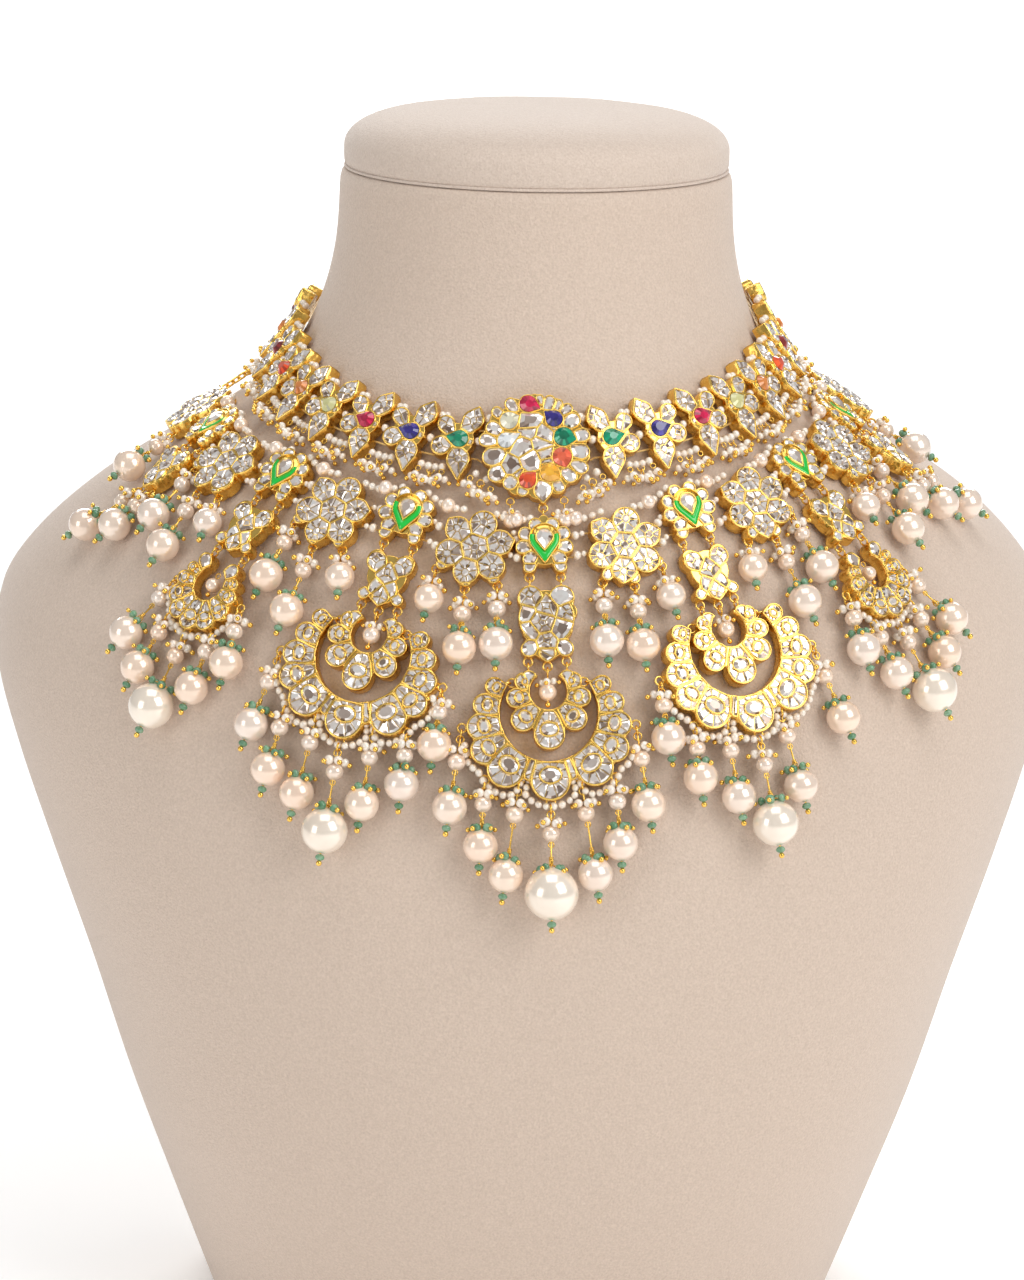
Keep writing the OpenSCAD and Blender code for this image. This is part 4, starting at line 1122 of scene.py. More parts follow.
def centre_plaque():
    """The lobed plaque with its eight coloured stones among polki."""
    d = CENTRE_D
    gems = Piece("centre_gems_cut")
    lobes = [lobe_at(d, x, y, r, 5, tip, kind="gem", gem=g) for x, y, r, tip, g in CENTRE_GEMS]
    lobes += [lobe_at(d, *row) for row in EDGE_POLKI]
    lobes.append(Lobe(0.05 * d, -0.41 * d, 0.09 * d, tip=(BAIL_X, CENTRE_TIP), parts=1))
    lobes += [lobe_at(d, *row, grow=2.2) for row in INNER_POLKI]
    rims = [Lobe(0, 0, d * 0.46, kind="body")]
    rims += [Lobe(d * 0.41 * cos(k * 360 / 14 + 13), d * 0.41 * sin(k * 360 / 14 + 13), d * 0.09,
                  kind="body") for k in range(14)]
    rims.append(Lobe(BAIL_X, -d * 0.41, d * 0.09, tip=(BAIL_X, CENTRE_TIP), kind="body"))
    piece = plaque("centre_plaque", CENTRE, rims, [(BAIL_X, CENTRE_TIP - LUG_OUT)], n=220)
    lobes.append(Lobe(0, 0, d * 0.47, kind="body"))
    for lobe, poly in cells(lobes, edge=0.2):
        fill(piece, CENTRE, lobe, poly, gems)
    piece.make("gold", ["centre_plaque"])
    gems.make("ruby", ["centre_gems"])


LINK_GEMS = [EMERALD, SAPPHIRE, RUBY, PERIDOT, AMBER, FIRE, GARNET, AMBER, GARNET]
# Columns: x, y and radius as shares of the link's height; stones; tip
LINK_PETALS = [(-0.16, 0.30, 0.145, 5, (-0.22, 0.50)), (0.16, 0.22, 0.12, 4, None),
               (0.18, -0.06, 0.135, 4, None), (-0.06, -0.21, 0.155, 5, (-0.10, -0.50))]
LINK_STONE = (-0.035, 0.045, 0.115, 5, (0.150, 0.06))
LINK_SPARE = (-0.165, 0.02, 0.06, 1, None)


def links():
    """The choker's links, each with petals round its coloured stone."""
    h = LINK_H
    gems = Piece("link_gems_cut")
    for side_name, side in SIDES.items():
        for i in range(1, LINK_N + 1):
            lobes = [Lobe(0, h * 0.04, h * 0.22, kind="body")]
            lobes += [lobe_at(h, *petal, side) for petal in LINK_PETALS]
            lobes.append(lobe_at(h, *LINK_STONE, side, kind="gem", gem=LINK_GEMS[i - 1]))
            lobes.append(lobe_at(h, *LINK_SPARE, side))
            lugs = [(side * (h * 0.315 + LUG_OUT), -h * 0.06),
                    (-side * h * 0.10, -h * 0.50 - LUG_OUT)] if i == LINK_N else []
            name = "link_%s_%d" % (side_name, i)
            plaque(name, LINKS[side, i], lobes, lugs, gems, n=130).make("gold", [name])
    gems.make("emerald", ["link_gems"])


centre_plaque()
links()

# Second row

FLOWER_ANGLES = [112, 68, 150, 30, 188, -8, 226, -46]


def raised_stone(piece, f, d):
    """A flower's pear stone in its bezel, on a bed with a band of green enamel under it."""
    stone = Lobe(0, d * 0.11, d * 0.140, tip=(0, -d * 0.125))
    bed = Lobe(0, d * 0.09, d * 0.262, tip=(0, -d * 0.36))
    n = 40
    points = [raised(bed.outline(grow, n), FACE + z)
              for grow, z in ((0.0, -0.2), (0.0, 0.55), (-0.12, 0.75))]
    points.append([[0, d * 0.08, FACE + 0.8]])
    top = [(2 * n + k, 2 * n + (k + 1) % n, 3 * n) for k in range(n)]
    piece.add(f.world(np.vstack(points)), skin(3, n) + top, GOLD_WALL)
    band(piece, f, evenly(bed.outline(-0.16, n), 48), FACE + 0.68, 0.36, 0.34)
    eye = np.array([0.0, d * 0.10])
    ways = spokes(np.radians(np.linspace(-196, 16, 46)))
    outer, _ = far_hits(eye, ways, [bed.outline(-0.28, 60)])
    inner, _ = far_hits(eye, ways, [stone.outline(0.36, 60)])
    # Columns: share of the way out; height
    points = [raised(eye + ways * (inner + (outer - inner) * t)[:, None], FACE + z)
              for t, z in ((0.0, 0.70), (0.12, 1.0), (0.5, 1.10), (0.88, 1.0), (1.0, 0.70))]
    faces = [face[::-1] for face in skin(5, len(ways), closed=False)]
    piece.add(f.world(np.concatenate(points)), faces, ENAMEL)
    line = stone.outline(0.08, n)
    band(piece, f, evenly(line, 44), FACE + 0.8, 0.62, 0.75)
    cut_stone(piece, f, inset(line, 0.22), FACE + 0.9, RAISED_H, POLKI, 14, 2.0, table=0.5)


def flower(name, f, j):
    """A round plaque of polki petals with a raised stone and two rings under it."""
    d = FLOWER_D
    lobes = [Lobe(0, 0, d * 0.38, kind="body"), Lobe(0, d * 0.03, d * 0.25, kind="bed")]
    lobes += [Lobe(d * 0.365 * cos(a), d * 0.365 * sin(a), d * 0.135, parts=1)
              for a in FLOWER_ANGLES]
    lobes += [Lobe(x * EAR_X, EAR_Y + d * 0.12, d * 0.12, parts=1) for x in (-1, 1)]
    lugs = [(x * EAR_X, EAR_Y - LUG_OUT) for x in (-1, 1)]
    if j == 0:
        lobes.append(Lobe(0, FLOWER_TOP - RING_R * 0.7 - d * 0.10, d * 0.10, kind="body"))
        lugs.append((0, FLOWER_TOP, (1, 0, 0)))
    piece = plaque(name, f, lobes, lugs)
    raised_stone(piece, f, d)
    return piece


def rosette(name, f, side, j):
    """Six petals round a seventh, every other one drawn out to a tip."""
    d = ROSETTE_D
    lobes = [Lobe(0, 0, d * 0.36, kind="body"), Lobe(0, 0, d * 0.185, parts=6, grow=1.6)]
    for k in range(3):
        a, b = k * 120 + 78, k * 120 + 18
        lobes.append(Lobe(d * 0.32 * cos(a), d * 0.32 * sin(a), d * 0.188, parts=5))
        lobes.append(Lobe(d * 0.32 * cos(b), d * 0.32 * sin(b), d * 0.178,
                          tip=(d * 0.53 * cos(b), d * 0.53 * sin(b)), parts=6))
    lugs = []
    for row in DROPS:
        if row[0] == 1 and row[1] == j:
            lobes.append(Lobe(side * row[3] * d * 0.84, row[4] * d * 0.84, d * 0.085, parts=1))
            lugs.append((side * row[3] * d, row[4] * d))
    if j == PLAQUES:
        lobes.append(Lobe(side * d * 0.43, d * 0.10, d * 0.085, kind="body"))
        lugs.append((side * (d * 0.5 + LUG_OUT), d * 0.10))
    return plaque(name, f, lobes, lugs)


flower("flower_centre", ROW[1, 0], 0).make("gold", ["flower_centre"])
for side_name, side in SIDES.items():
    for j in range(1, PLAQUES + 1):
        name = "%s_%s_%d" % ("flower" if is_flower(j) else "rosette", side_name, j)
        piece = (flower(name, ROW[side, j], j) if is_flower(j)
                 else rosette(name, ROW[side, j], side, j))
        piece.make("gold", [name])

# Connectors and pendants

# Cells. Columns: x, y and radius as shares of the height; stones
PAISLEY_CELLS = [(-0.19, 0.36, 0.140, 2), (0.19, 0.36, 0.140, 1), (0.01, 0.22, 0.125, 3),
                 (0.27, 0.15, 0.125, 2), (-0.25, 0.15, 0.085, 1), (-0.05, 0.02, 0.135, 3),
                 (-0.21, -0.10, 0.10, 1), (0.20, -0.07, 0.130, 1), (0.0, -0.24, 0.130, 2)]
TREFOIL_PETALS = [(-0.24, 0.28, 0.19, 3), (0.24, 0.28, 0.19, 3)]
TREFOIL_CELLS = [(0.0, 0.10, 0.17, 2), (-0.16, -0.16, 0.135, 1), (0.16, -0.16, 0.135, 1)]


def connector(name, f, side, k):
    """The paisley in the middle, or a trefoil, between a flower and its pendant."""
    h = connector_h(k)
    lobes = [Lobe(0, h * 0.08, h * 0.36, kind="body"), Lobe(0, -h * 0.18, h * 0.27, kind="body")]
    lugs = []
    for x in (-1, 1):
        lobes.append(Lobe(x * EAR_X, h / 2 - h * 0.17, h * 0.17, kind="body"))
        lugs.append((x * EAR_X, connector_top(k), (1, 0, 0)))
        if k < 3:
            lobes.append(Lobe(x * FOOT_X * 0.94, connector_foot(k) + h * 0.13, h * 0.115, parts=1))
            lugs.append((x * FOOT_X, connector_foot(k) - LUG_OUT))
    lobes.append(Lobe(0, -h * 0.30, h * 0.17, tip=(0, -h * 0.50), kind="body"))
    if k == 0:
        lobes += [lobe_at(h, *cell, grow=h * 0.07) for cell in PAISLEY_CELLS]
        lobes.append(lobe_at(h, 0, -0.36, 0.12, 2, (0, -0.50)))
    else:
        lobes += [lobe_at(h, *petal) for petal in TREFOIL_PETALS]
        lobes += [lobe_at(h, *cell, grow=h * 0.06) for cell in TREFOIL_CELLS]
        lobes.append(lobe_at(h, 0, -0.30, 0.17, 2, (0, -0.50)))
    lugs += [(side * row[3] * h, row[4] * h) for row in DROPS
             if row[0] == 2 and has_drop(row, side, k)]
    return plaque(name, f, lobes, lugs)


# Scallops. Columns: turn from the right; distance and radius as shares of the width; petals
OUTER = [(-90, 0.330, 0.122, 7), (-44, 0.366, 0.116, 7), (-20, 0.407, 0.092, 6),
         (0, 0.409, 0.085, 5), (19, 0.404, 0.072, 4), (37, 0.400, 0.060, 3)]
INNER = [(-90, 0.052, 0.098, 6), (14, 0.159, 0.078, 4), (41, 0.254, 0.065, 3),
         (61, 0.304, 0.058, 3)]
SINGLE = [(-90, 0.34, 0.145, 6), (-52, 0.36, 0.135, 5), (-20, 0.37, 0.125, 4),
          (10, 0.38, 0.105, 3), (34, 0.40, 0.08, 3)]
# Bodies and voids. Columns: radius and height of the body; of the void; height of the cut,
# all as shares of the width; turn at which it ends
OUTER_BODY = (0.355, 0, 0.285, 0.078, 0.21, 35.5)
INNER_BODY = (0.20, 0.155, 0.105, 0.205, 0.26, 56)
SINGLE_BODY = (0.40, 0, 0.20, 0.13, 0.30, 62)
# Small cells between scallops. Columns: turn; distance; radius
OUTER_WEDGE = (-67, 0.318, 0.040)
INNER_WEDGE = (-44, 0.075, 0.025)


def scallops(rows, w):
    """A crescent's scallops, the lowest one alone and the others on both sides."""
    return [Lobe(x * w * dist * cos(a), w * dist * sin(a), w * r, kind="scallop", parts=parts)
            for a, dist, r, parts in rows for x in (-1, 1) if a > -90 or x > 0]


def crescent(piece, f, rows, w, measures, feet=(), wedge=None):
    """A crescent w wide round a void, with scallops along it."""
    body_r, body_y, void_r, void_y, cut_y, last = measures
    lobes = scallops(rows, w)
    if wedge:
        a, dist, r = wedge
        lobes += [Lobe(x * w * dist * cos(a), w * dist * sin(a), w * r, parts=3) for x in (-1, 1)]
    middle = np.array([0.0, w * void_y])
    body = Lobe(0, w * body_y, w * body_r, kind="body")
    lobes += feet
    arc_body(piece, f, lobes + [body], middle, w * void_r, last, w * cut_y)
    for lobe, poly in cells(lobes, middle):
        # Nothing is set over the void
        out = unit(lobe.c - middle)
        poly = clip(poly, middle + out * (w * void_r + 0.45), -out)
        if len(poly) > 2 and area(poly) > 1.0:
            fill(piece, f, lobe, poly, None, middle)


def foot_lobes(w, k):
    """The two round cells under a pendant's top rings."""
    r = 0.06 * w if k < 2 else 0.10 * w
    return [Lobe(x * FOOT_X, pendant_top(k) - RING_R * 0.7 - r, r, kind="foot", parts=1)
            for x in (-1, 1)]


def chandbali(name, side, k):
    """A double crescent: the inner one hangs by its horns in the outer one."""
    f, w = PENDANTS[side, k], CHANDBALI_W
    piece = Piece(name + "_set")
    crescent(piece, f, OUTER, w, OUTER_BODY, wedge=OUTER_WEDGE)
    crescent(piece, f, INNER, w, INNER_BODY, foot_lobes(w, k), INNER_WEDGE)
    for x in (-1, 1):
        lug(piece, f, x * (HORN_X + NIP + RING_R), HORN_Y, (0, 1, 0))
        lug(piece, f, x * HORN_X, HORN_Y)
        lug(piece, f, x * FOOT_X, pendant_top(k), (1, 0, 0))
    for row in DROPS:
        if row[0] == 3 and has_drop(row, side, k):
            for x in ((-1, 1) if k == 0 and row[3] > 0 else (1,)):
                lug(piece, f, x * side * row[3] * w, row[4] * w)
    piece.make("gold", [name])


def single_crescent(name, side, k):
    """The crescent under the second trefoil."""
    f, w = PENDANTS[side, k], CRESCENT_W
    piece = Piece(name + "_set")
    crescent(piece, f, SINGLE, w, SINGLE_BODY, foot_lobes(w, k))
    for x in (-1, 1):
        lug(piece, f, x * FOOT_X, pendant_top(k), (1, 0, 0))
    for row in DROPS:
        if row[0] == 4:
            lug(piece, f, side * row[3] * w, row[4] * w)
    piece.make("gold", [name])


connector("connector_centre", CONNECTORS[1, 0], 1, 0).make("gold", ["connector_centre"])
chandbali("chandbali_centre", 1, 0)
for side_name, side in SIDES.items():
    for k in (1, 2, 3):
        name = "connector_%s_%d" % (side_name, k)
        connector(name, CONNECTORS[side, k], side, k).make("gold", [name])
    chandbali("chandbali_" + side_name, side, 1)
    single_crescent("crescent_" + side_name, side, 2)

# Pearls, seeds, balls, emerald beads and rings

pearls, smalls, seeds = Piece("large_pearls"), Piece("small_pearls_round"), Piece("seed_pearls")
balls, jades, rings = Piece("gold_balls"), Piece("emerald_beads"), Piece("jump_rings")


def seed(place, d, along, long=0.9):
    bead(seeds, place, d, SEED, "seed", along, long)


def small_pearl(place, d, along, long):
    bead(smalls, place, d, PEARL, "mid", along, long)


def ball(place, d):
    bead(balls, place, d, GOLD_BEAD, "tiny")


# Tufts. Columns: distance of the beads; their size; their number; share that they point down;
# arc that they take up, in degrees; size of their gold balls
TUFTS = {
    "lone_pearl": (1.8, 2.2, 3, 0.35, 170.0, 1.35), "small_pearl": (2.3, 2.6, 4, 0.35, 220.0, 1.5),
    "large_pearl": (2.3, 2.5, 4, 0.35, 220.0, 1.5), "emerald": (0.5, 2.5, 4, 0.22, 230.0, 1.4),
    "gap": (2.1, 2.5, 5, 0.55, 240.0, 1.5), "beside_gap": (1.7, 2.3, 3, 0.7, 200.0, 1.4),
    "centre_drop": (1.9, 2.1, 3, 0.35, 200.0, 1.35)}


# How far over a pearl the pins of its tuft start, and the nearest that they come to the eye
OVER_LONE, OVER_SMALL, OVER_LARGE, FROM_EYE = 0.9, 1.3, 1.1, 0.6
# From the large pearl down to its emerald bead and up to its cap of rings, and the coil's pitch
JADE_UNDER, CAP_OVER, COIL_PITCH = 0.95, 0.55, 0.42
# From a gap's string down to its ring, in the first gap and in the others; from there to the tuft,
# down and out; to the tufts beside it, along, down and out
RING_UNDER = (2.4, 1.6)
TUFT_DOWN, TUFT_OUT = 2.6, 0.8
BESIDE_ALONG, BESIDE_DOWN, BESIDE_OUT = 3.4, 1.5, 0.6


def tuft(kind, centre, way, across, out, wider=0.0):
    """Beads on short pins round a drop, on the side away from the bust, each with a gold ball."""
    spread, d, count, sag, arc, ball_d = TUFTS[kind]
    spread += wider
    into, material = (jades, JADE) if kind == "emerald" else (seeds, SEED)
    turn = rng.uniform(-12, 12)
    for k in range(count):
        a = turn - arc / 2 + arc * k / (count - 1)
        direction = unit(out * cos(a) + across * sin(a) + way * (sag + rng.uniform(-0.15, 0.25)))
        size = d * rng.uniform(0.88, 1.1)
        p = centre + direction * (spread + rng.uniform(-0.2, 0.2))
        end = centre + direction * (spread + size * 0.45 + ball_d * 0.42)
        stick(rings, centre, end, PIN_D, GOLD_BEAD, 5)
        bead(into, p, size, material, "seed", direction, 0.86)
        ball(end, ball_d * rng.uniform(0.9, 1.08))


def drop(eye, way, across, out, small, large, size, kind):
    """Pearls, emerald beads, tufts and rings of one drop, from its eye down."""
    axes = way, across, out
    p = eye + way * large
    if kind == 3:
        small_pearl(p, size, way, 0.97)
        tuft("lone_pearl", eye + way * (large - size / 2 - OVER_LONE), *axes)
        return
    bead(pearls, p, size, BIG_PEARL if kind == 2 else PEARL, "fine", way, rng.uniform(0.96, 1.0))
    # The bead under the large pearl lies above the end ball of the CAD wire
    bead(jades, eye + way * (large + size / 2 + JADE_UNDER), JADE_D, JADE, "seed", way, 0.72)
    top = eye + way * (large - size / 2 - CAP_OVER)
    if small > 0:
        small_pearl(eye + way * small, SMALL_PEARL_D * rng.uniform(0.96, 1.02), way, 0.95)
        start = max(FROM_EYE, small - SMALL_PEARL_D / 2 - OVER_SMALL)
        tuft("small_pearl", eye + way * start, *axes)
        ring(rings, eye + way * 1.6, out)
        ring(rings, eye + way * (small + SMALL_PEARL_D / 2 + 0.5), out, LOOP)
        tuft("emerald", top + way * 0.1, *axes, wider=size * 0.19)
        for n in range(3):
            ring(rings, top - way * (1.0 + COIL_PITCH * n), way, COIL)
    else:
        start = max(FROM_EYE, large - size / 2 - OVER_LARGE)
        tuft("large_pearl", eye + way * start, *axes)
    for n, turn in enumerate((-35, 35)):
        ring(rings, top - way * (0.3 + 0.5 * n), across * cos(turn) + out * sin(turn), LOOP)


# Strings between links. Columns: place on the link before; on the centre plaque instead, in the
# first gap; on the link after (x and y as shares); height; beads in the first gap; in the others;
# bead size
LINK_STRINGS = [
    ((0.17, 0.37), (0.40, 0.30), (-0.31, 0.36), 2.3, 3, 3, 2.2),
    ((0.30, 0.08), (0.485, 0.12), (-0.23, 0.04), 2.5, 1, 1, 2.4),
    ((0.09, -0.30), (0.40, -0.30), (-0.22, -0.30), 2.2, 2, 4, 2.4)]


def link_gap(side, i):
    """Strings of seeds from a link to the next one, and the tufts under them."""
    f, g = LINKS[side, i] if i else CENTRE, LINKS[side, i + 1]
    for before, first, after, z, few, many, size in LINK_STRINGS:
        (x, y), w = (before, LINK_H) if i else (first, CENTRE_D)
        a = f.world([side * w * x, w * y, z])
        b = g.world([side * LINK_H * after[0], LINK_H * after[1], z])
        count = many if i else few
        for n in range(count):
            t = (n + 0.5) / count
            q = a + (b - a) * t - np.array([0, 0, 1]) * (0.5 * math.sin(math.pi * t))
            seed(q, size * rng.uniform(0.92, 1.08), unit(b - a))
    # The tufts hang from the last string
    out, along = unit(f.axes[2] + g.axes[2]), unit(b - a)
    way = -unit(f.axes[1] + g.axes[1])
    spot = (a + b) / 2 + way * RING_UNDER[min(i, 1)]
    ring(rings, spot, out)
    ring(rings, spot + way * 1.5, along)
    tuft("gap", spot + way * TUFT_DOWN + out * TUFT_OUT, way, along, out)
    for x in (-1, 1):
        hub = spot + along * BESIDE_ALONG * x + way * BESIDE_DOWN + out * BESIDE_OUT
        ring(rings, hub - way * 1.3, out, LOOP)
        tuft("beside_gap", hub, way, along, out)


def centre_drops():
    """Two small drops under the centre plaque."""
    along, out, way = CENTRE.axes[0], CENTRE.axes[2], -CENTRE.axes[1]
    for x in (-0.24, 0.24):
        p = CENTRE.world([x * CENTRE_D, -0.49 * CENTRE_D, RING_Z])
        ring(rings, p, out)
        ring(rings, p + way * 1.9, along)
        hub = p + way * 2.9 + out * 0.7
        tuft("centre_drop", hub, way, along, out)
        small_pearl(hub + way * 3.0, VOID_PEARL_D, way, 0.96)


def plaque_gap(side, j):
    """Spacers on the threads between two plaques of the row, and the strand above them."""
    f, g = ROW[side, j], ROW[side, j + 1]
    df, dg = (FLOWER_D if is_flower(n) else ROSETTE_D for n in (j, j + 1))
    lift_f = FLOWER_D * 0.15 if j == 0 else (0 if is_flower(j) else ROSETTE_DROP)
    lift_g = 0 if is_flower(j + 1) else ROSETTE_DROP
    out = unit(f.axes[2] + g.axes[2])
    for row in (FLOWER_D * 0.01, -FLOWER_D * 0.34):
        a = f.world([side * df * 0.47, row + lift_f, PLATE_T * 0.45])
        b = g.world([-side * dg * 0.47, row + lift_g, PLATE_T * 0.45])
        along = unit(b - a)
        middle = (a + b) / 2 + out * 0.3
        seed(middle - along * 0.9, SPACER_SEED_D, along)
        seed(middle + along * 1.1, SPACER_D, along)
    a = f.world([side * df * 0.16, df * 0.50, PLATE_T * 0.5])
    b = g.world([-side * dg * 0.16, dg * 0.50, PLATE_T * 0.5])
    sag = -unit(f.axes[1] + g.axes[1])
    for n in range(6):
        t = (n + 0.5) / 6
        q = a + (b - a) * t + sag * 1.6 * math.sin(math.pi * t) + out * 0.4
        if n == 2:
            small_pearl(q + out, STRAND_PEARL_D, unit(b - a), 0.92)
        else:
            seed(q, STRAND_SEED_D, unit(b - a), 0.92)


def crescent_string(side, k):
    """A string of small pearls along a crescent's lower edge, half drawn in to its scallops."""
    f = PENDANTS[side, k]
    lobes = scallops(OUTER, CHANDBALI_W) if k < 2 else scallops(SINGLE, CRESCENT_W)
    ways = spokes(np.radians(np.arange(-168, -11, 0.5)))
    far, _ = far_hits(np.zeros(2), ways, [b.outline() for b in lobes])
    smooth = np.array([far[max(0, n - 26):n + 27].max() for n in range(len(far))])
    smooth = np.convolve(np.pad(smooth, 12, mode="edge"), np.ones(25) / 25, mode="valid")
    line = ways * (0.5 * smooth + 0.5 * far + 1.15)[:, None]
    run = run_along(line)
    s = 0.0
    while s < run[-1]:
        x, y = np.interp(s, run, line[:, 0]), np.interp(s, run, line[:, 1])
        size = rng.uniform(2.0, 2.5)
        seed(f.world([x, y, 1.9 + rng.uniform(-0.1, 0.1)]), size, f.axes[0], 0.92)
        s += size * 0.98
    if k == 2:
        # The small pearl in the void
        y = CRESCENT_W * 0.13
        small_pearl(f.world([0, y, 2.0]), VOID_PEARL_D, f.axes[1], 0.96)
        ball(f.world([0, y - 2.9, 2.0]), 1.4)
        ring(rings, f.world([0, y + 3.0, 2.0]), f.axes[2], LOOP)


for row in all_drops():
    drop(**row)
for side in (-1, 1):
    for i in range(LINK_N):
        link_gap(side, i)
centre_drops()
for side in (-1, 1):
    for j in range(PLAQUES):
        plaque_gap(side, j)
for side, k in ((-1, 1), (-1, 2), (1, 0), (1, 1), (1, 2)):
    crescent_string(side, k)

pearls.make("pearl", ["drop_pearls"])
smalls.make("pearl", ["small_pearls"])
seeds.make("pearl")
balls.make("gold")
jades.make()
rings.make("gold")

# Tail chains


def lying(p):
    """The nearest place to p where a chain lies on the bust or over it, and the way out there."""
    u = under(p)
    n = normal(u)
    return at(u) + n * max((p - at(u)) @ n, CHAIN_D / 2 + LIE_GAP), n


CHAIN_LINK = ring_shape(0.85, 0.62, 14, 7, stretch=1.1)


def chain(piece, points, outs):
    """Cable links along a line, each a quarter turn from the one before."""
    points, outs = np.array(points), np.array(outs)
    run = run_along(points)

    def on(table, s):
        s = min(max(s, 0.0), run[-1])
        return np.array([np.interp(s, run, table[:, k]) for k in range(3)])

    count = max(2, int(round(run[-1] / CHAIN_PITCH)))
    for i in range(count):
        s = run[-1] * (i + 0.5) / count
        t = unit(on(points, s + 0.4) - on(points, s - 0.4))
        side_way = unit(np.cross(unit(on(outs, s)), t))
        n = np.cross(t, side_way)
        a = 135 if i % 2 else 45
        up = n * cos(a) + side_way * sin(a)
        axes = np.array([t, np.cross(up, t), up])
        piece.add(CHAIN_LINK[0] @ axes + on(points, s), CHAIN_LINK[1], GOLD_BEAD)


def clasp_frame():
    """Where the clasp lies, at the nape."""
    u = choker_at(180)
    n = normal(u)
    right = unit(d_turn(u))
    return Frame(right, np.cross(n, right), n, at(u) + n * (CHAIN_D / 2 + LIE_GAP))


CLASP = clasp_frame()


def eye_from(f, a, d):
    """Centre and axis of a chain's end ring, which leaves the lug at a in the direction d."""
    flat = unit(d - f.axes[2] * (d @ f.axes[2]))
    return a + flat * RING_R + d * NIP, unit(np.cross(d, f.axes[2]))


def choker_tail(piece, side):
    """Chain from the last link along the choker's line to the clasp."""
    f = LINKS[side, LINK_N]
    way = f.axes[0] * side
    lug_at = f.world([side * (LINK_H * 0.315 + LUG_OUT), -LINK_H * 0.06, RING_Z])
    eye, axis = eye_from(f, lug_at, way)
    start = eye + way * RING_R
    ring_at = CLASP.world([-side * (CLASP_L / 2 + RING_R + NIP), 0, 0])
    end = ring_at - CLASP.axes[0] * side * RING_R
    first, last = turn_of(start) + side * 5, 180 * side - side * 14
    path = [choker_at(first + (last - first) * k / 24) for k in range(25)]
    points = [at(u) + normal(u) * (CHAIN_D / 2 + LIE_GAP) for u in path]
    chain(piece, [start] + points + [end],
          [f.axes[2]] + [normal(u) for u in path] + [CLASP.axes[2]])
    ring(piece, eye, axis, LUG_SHAPE)
    ring(piece, ring_at, CLASP.axes[2], LUG_SHAPE)


def row_tail(piece, side):
    """Chain from the row's last plaque up to the choker's last link."""
    f, g = ROW[side, PLAQUES], LINKS[side, LINK_N]
    a = f.world([side * (ROSETTE_D * 0.5 + LUG_OUT), ROSETTE_D * 0.10, RING_Z])
    b = g.world([-side * LINK_H * 0.10, -LINK_H * 0.50 - LUG_OUT, RING_Z])
    way_a = unit(lying(a * 0.75 + b * 0.25)[0] - a)
    way_b = unit(lying(a * 0.25 + b * 0.75)[0] - b)
    (eye_a, axis_a), (eye_b, axis_b) = eye_from(f, a, way_a), eye_from(g, b, way_b)
    start, end = eye_a + way_a * RING_R, eye_b + way_b * RING_R
    path = [lying(start + (end - start) * k / 5) for k in range(1, 5)]
    chain(piece, [start] + [p for p, _ in path] + [end],
          [f.axes[2]] + [q for _, q in path] + [g.axes[2]])
    ring(piece, eye_a, axis_a, LUG_SHAPE)
    ring(piece, eye_b, axis_b, LUG_SHAPE)


tails, side_tails = Piece("choker_tail_chains"), Piece("row_tail_chains")
for side in (-1, 1):
    choker_tail(tails, side)
    row_tail(side_tails, side)
tails.make("gold", ["choker_tails"])
side_tails.make("gold", ["row_tails"])

# CAD nodes that stay as they are, with finer materials
for node, material in (("drop_wires", GOLD_BEAD), ("clasp", GOLD_BEAD),
                       ("choker_threads", THREAD), ("row_threads", THREAD)):
    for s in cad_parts[node].material_slots:
        s.material = material

# Floor, lights and camera

FLOOR_SIDE, FLOOR_FRONT, FLOOR_BACK, FLOOR_Z = 9.0, -9.0, 14.0, -0.0005
mesh = bpy.data.meshes.new("floor")
mesh.from_pydata([(x, y, FLOOR_Z) for x, y in (
    (-FLOOR_SIDE, FLOOR_FRONT), (FLOOR_SIDE, FLOOR_FRONT), (FLOOR_SIDE, FLOOR_BACK),
    (-FLOOR_SIDE, FLOOR_BACK))], [], [(0, 1, 2, 3)])
mesh.materials.append(FLOOR)
floor = bpy.data.objects.new("floor", mesh)
bpy.context.scene.collection.objects.link(floor)


def area_light(name, place, target, width, height, power):
    """A soft box at a place, turned to its target. Metres and watts."""
    data = bpy.data.lights.new(name, "AREA")
    data.shape = "RECTANGLE"
    data.size, data.size_y = width, height
    data.energy = power
    obj = bpy.data.objects.new(name, data)
    obj.location = place
    obj.rotation_euler = (Vector(target) - Vector(place)).to_track_quat("-Z", "Y").to_euler()
    bpy.context.scene.collection.objects.link(obj)


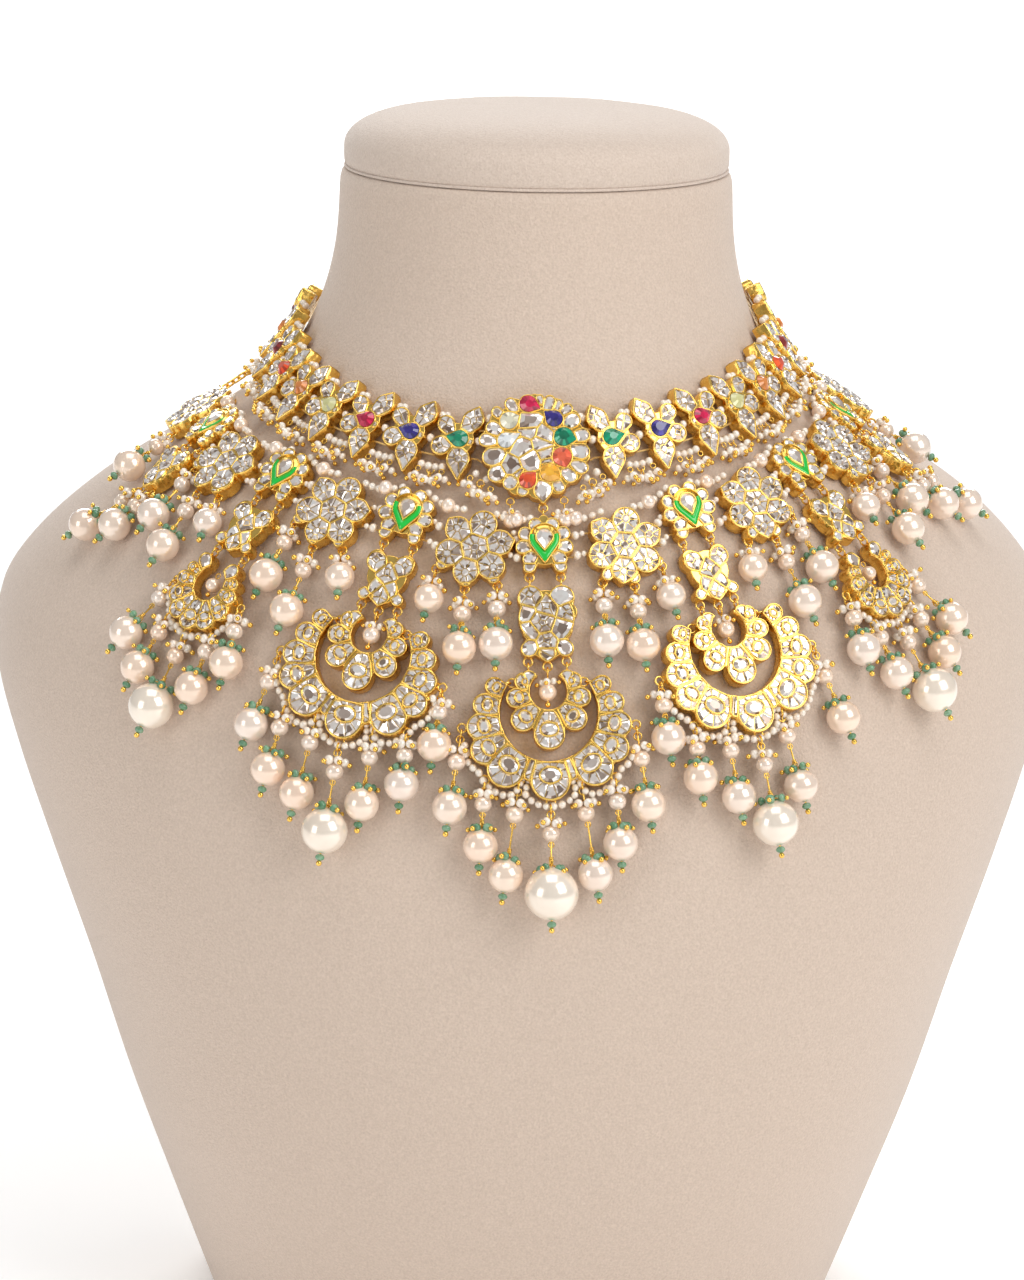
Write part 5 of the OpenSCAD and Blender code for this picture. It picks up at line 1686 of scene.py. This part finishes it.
area_light("key_right", (0.95, -0.95, 1.05), (0.0, -0.05, 0.24), 0.9, 1.1, 11.6)
area_light("fill_left", (-1.15, -0.9, 0.55), (0.0, -0.05, 0.22), 0.6, 0.8, 3.6)
area_light("top", (0.0, -0.15, 1.5), (0.0, -0.05, 0.2), 0.9, 0.9, 5.2)
area_light("back_floor", (0.0, 8.5, 3.5), (0.0, 8.2, 0.0), 7.0, 7.0, 900.0)

world = bpy.data.worlds.new("studio")
bpy.context.scene.world = world
world.use_nodes = True
background = world.node_tree.nodes["Background"]
background.inputs["Color"].default_value = (1.0, 1.0, 1.0, 1.0)
background.inputs["Strength"].default_value = 0.34

scene = bpy.context.scene
scene.view_settings.view_transform = "Standard"
scene.view_settings.look = "None"

# The photo's angle: azimuth, elevation and roll in degrees, the distance to the place that it
# looks at in metres, the lens in pixels of the photo, and the pixel that the lens points at
AZ, EL, ROLL, AWAY = -3.6, 14.0, -1.0, 1.1
LOOK_AT = np.array([0.0, -0.030, 0.215])
PHOTO_W, PHOTO_H, SENSOR_H = 1024, 1280, 24
FOCAL_PX, CENTRE_X, CENTRE_Y = 3762.0, 535.0, 628.0
back = np.array([sin(AZ) * cos(EL), -cos(AZ) * cos(EL), sin(EL)])
right = unit(np.cross(-back, [0, 0, 1]))
up = np.cross(right, -back)
matrix = np.eye(4)
matrix[:3, 0] = right * cos(ROLL) - up * sin(ROLL)
matrix[:3, 1] = up * cos(ROLL) + right * sin(ROLL)
matrix[:3, 2] = back
matrix[:3, 3] = LOOK_AT + back * AWAY
camera_data = bpy.data.cameras.new("camera")
camera = bpy.data.objects.new("camera", camera_data)
camera.matrix_world = Matrix(matrix.tolist())
camera_data.sensor_fit = "VERTICAL"
camera_data.sensor_height = SENSOR_H
camera_data.lens = FOCAL_PX / PHOTO_H * SENSOR_H
camera_data.shift_x = -(CENTRE_X - PHOTO_W / 2) / PHOTO_H
camera_data.shift_y = (CENTRE_Y - PHOTO_H / 2) / PHOTO_H
bpy.context.scene.collection.objects.link(camera)
scene.camera = camera
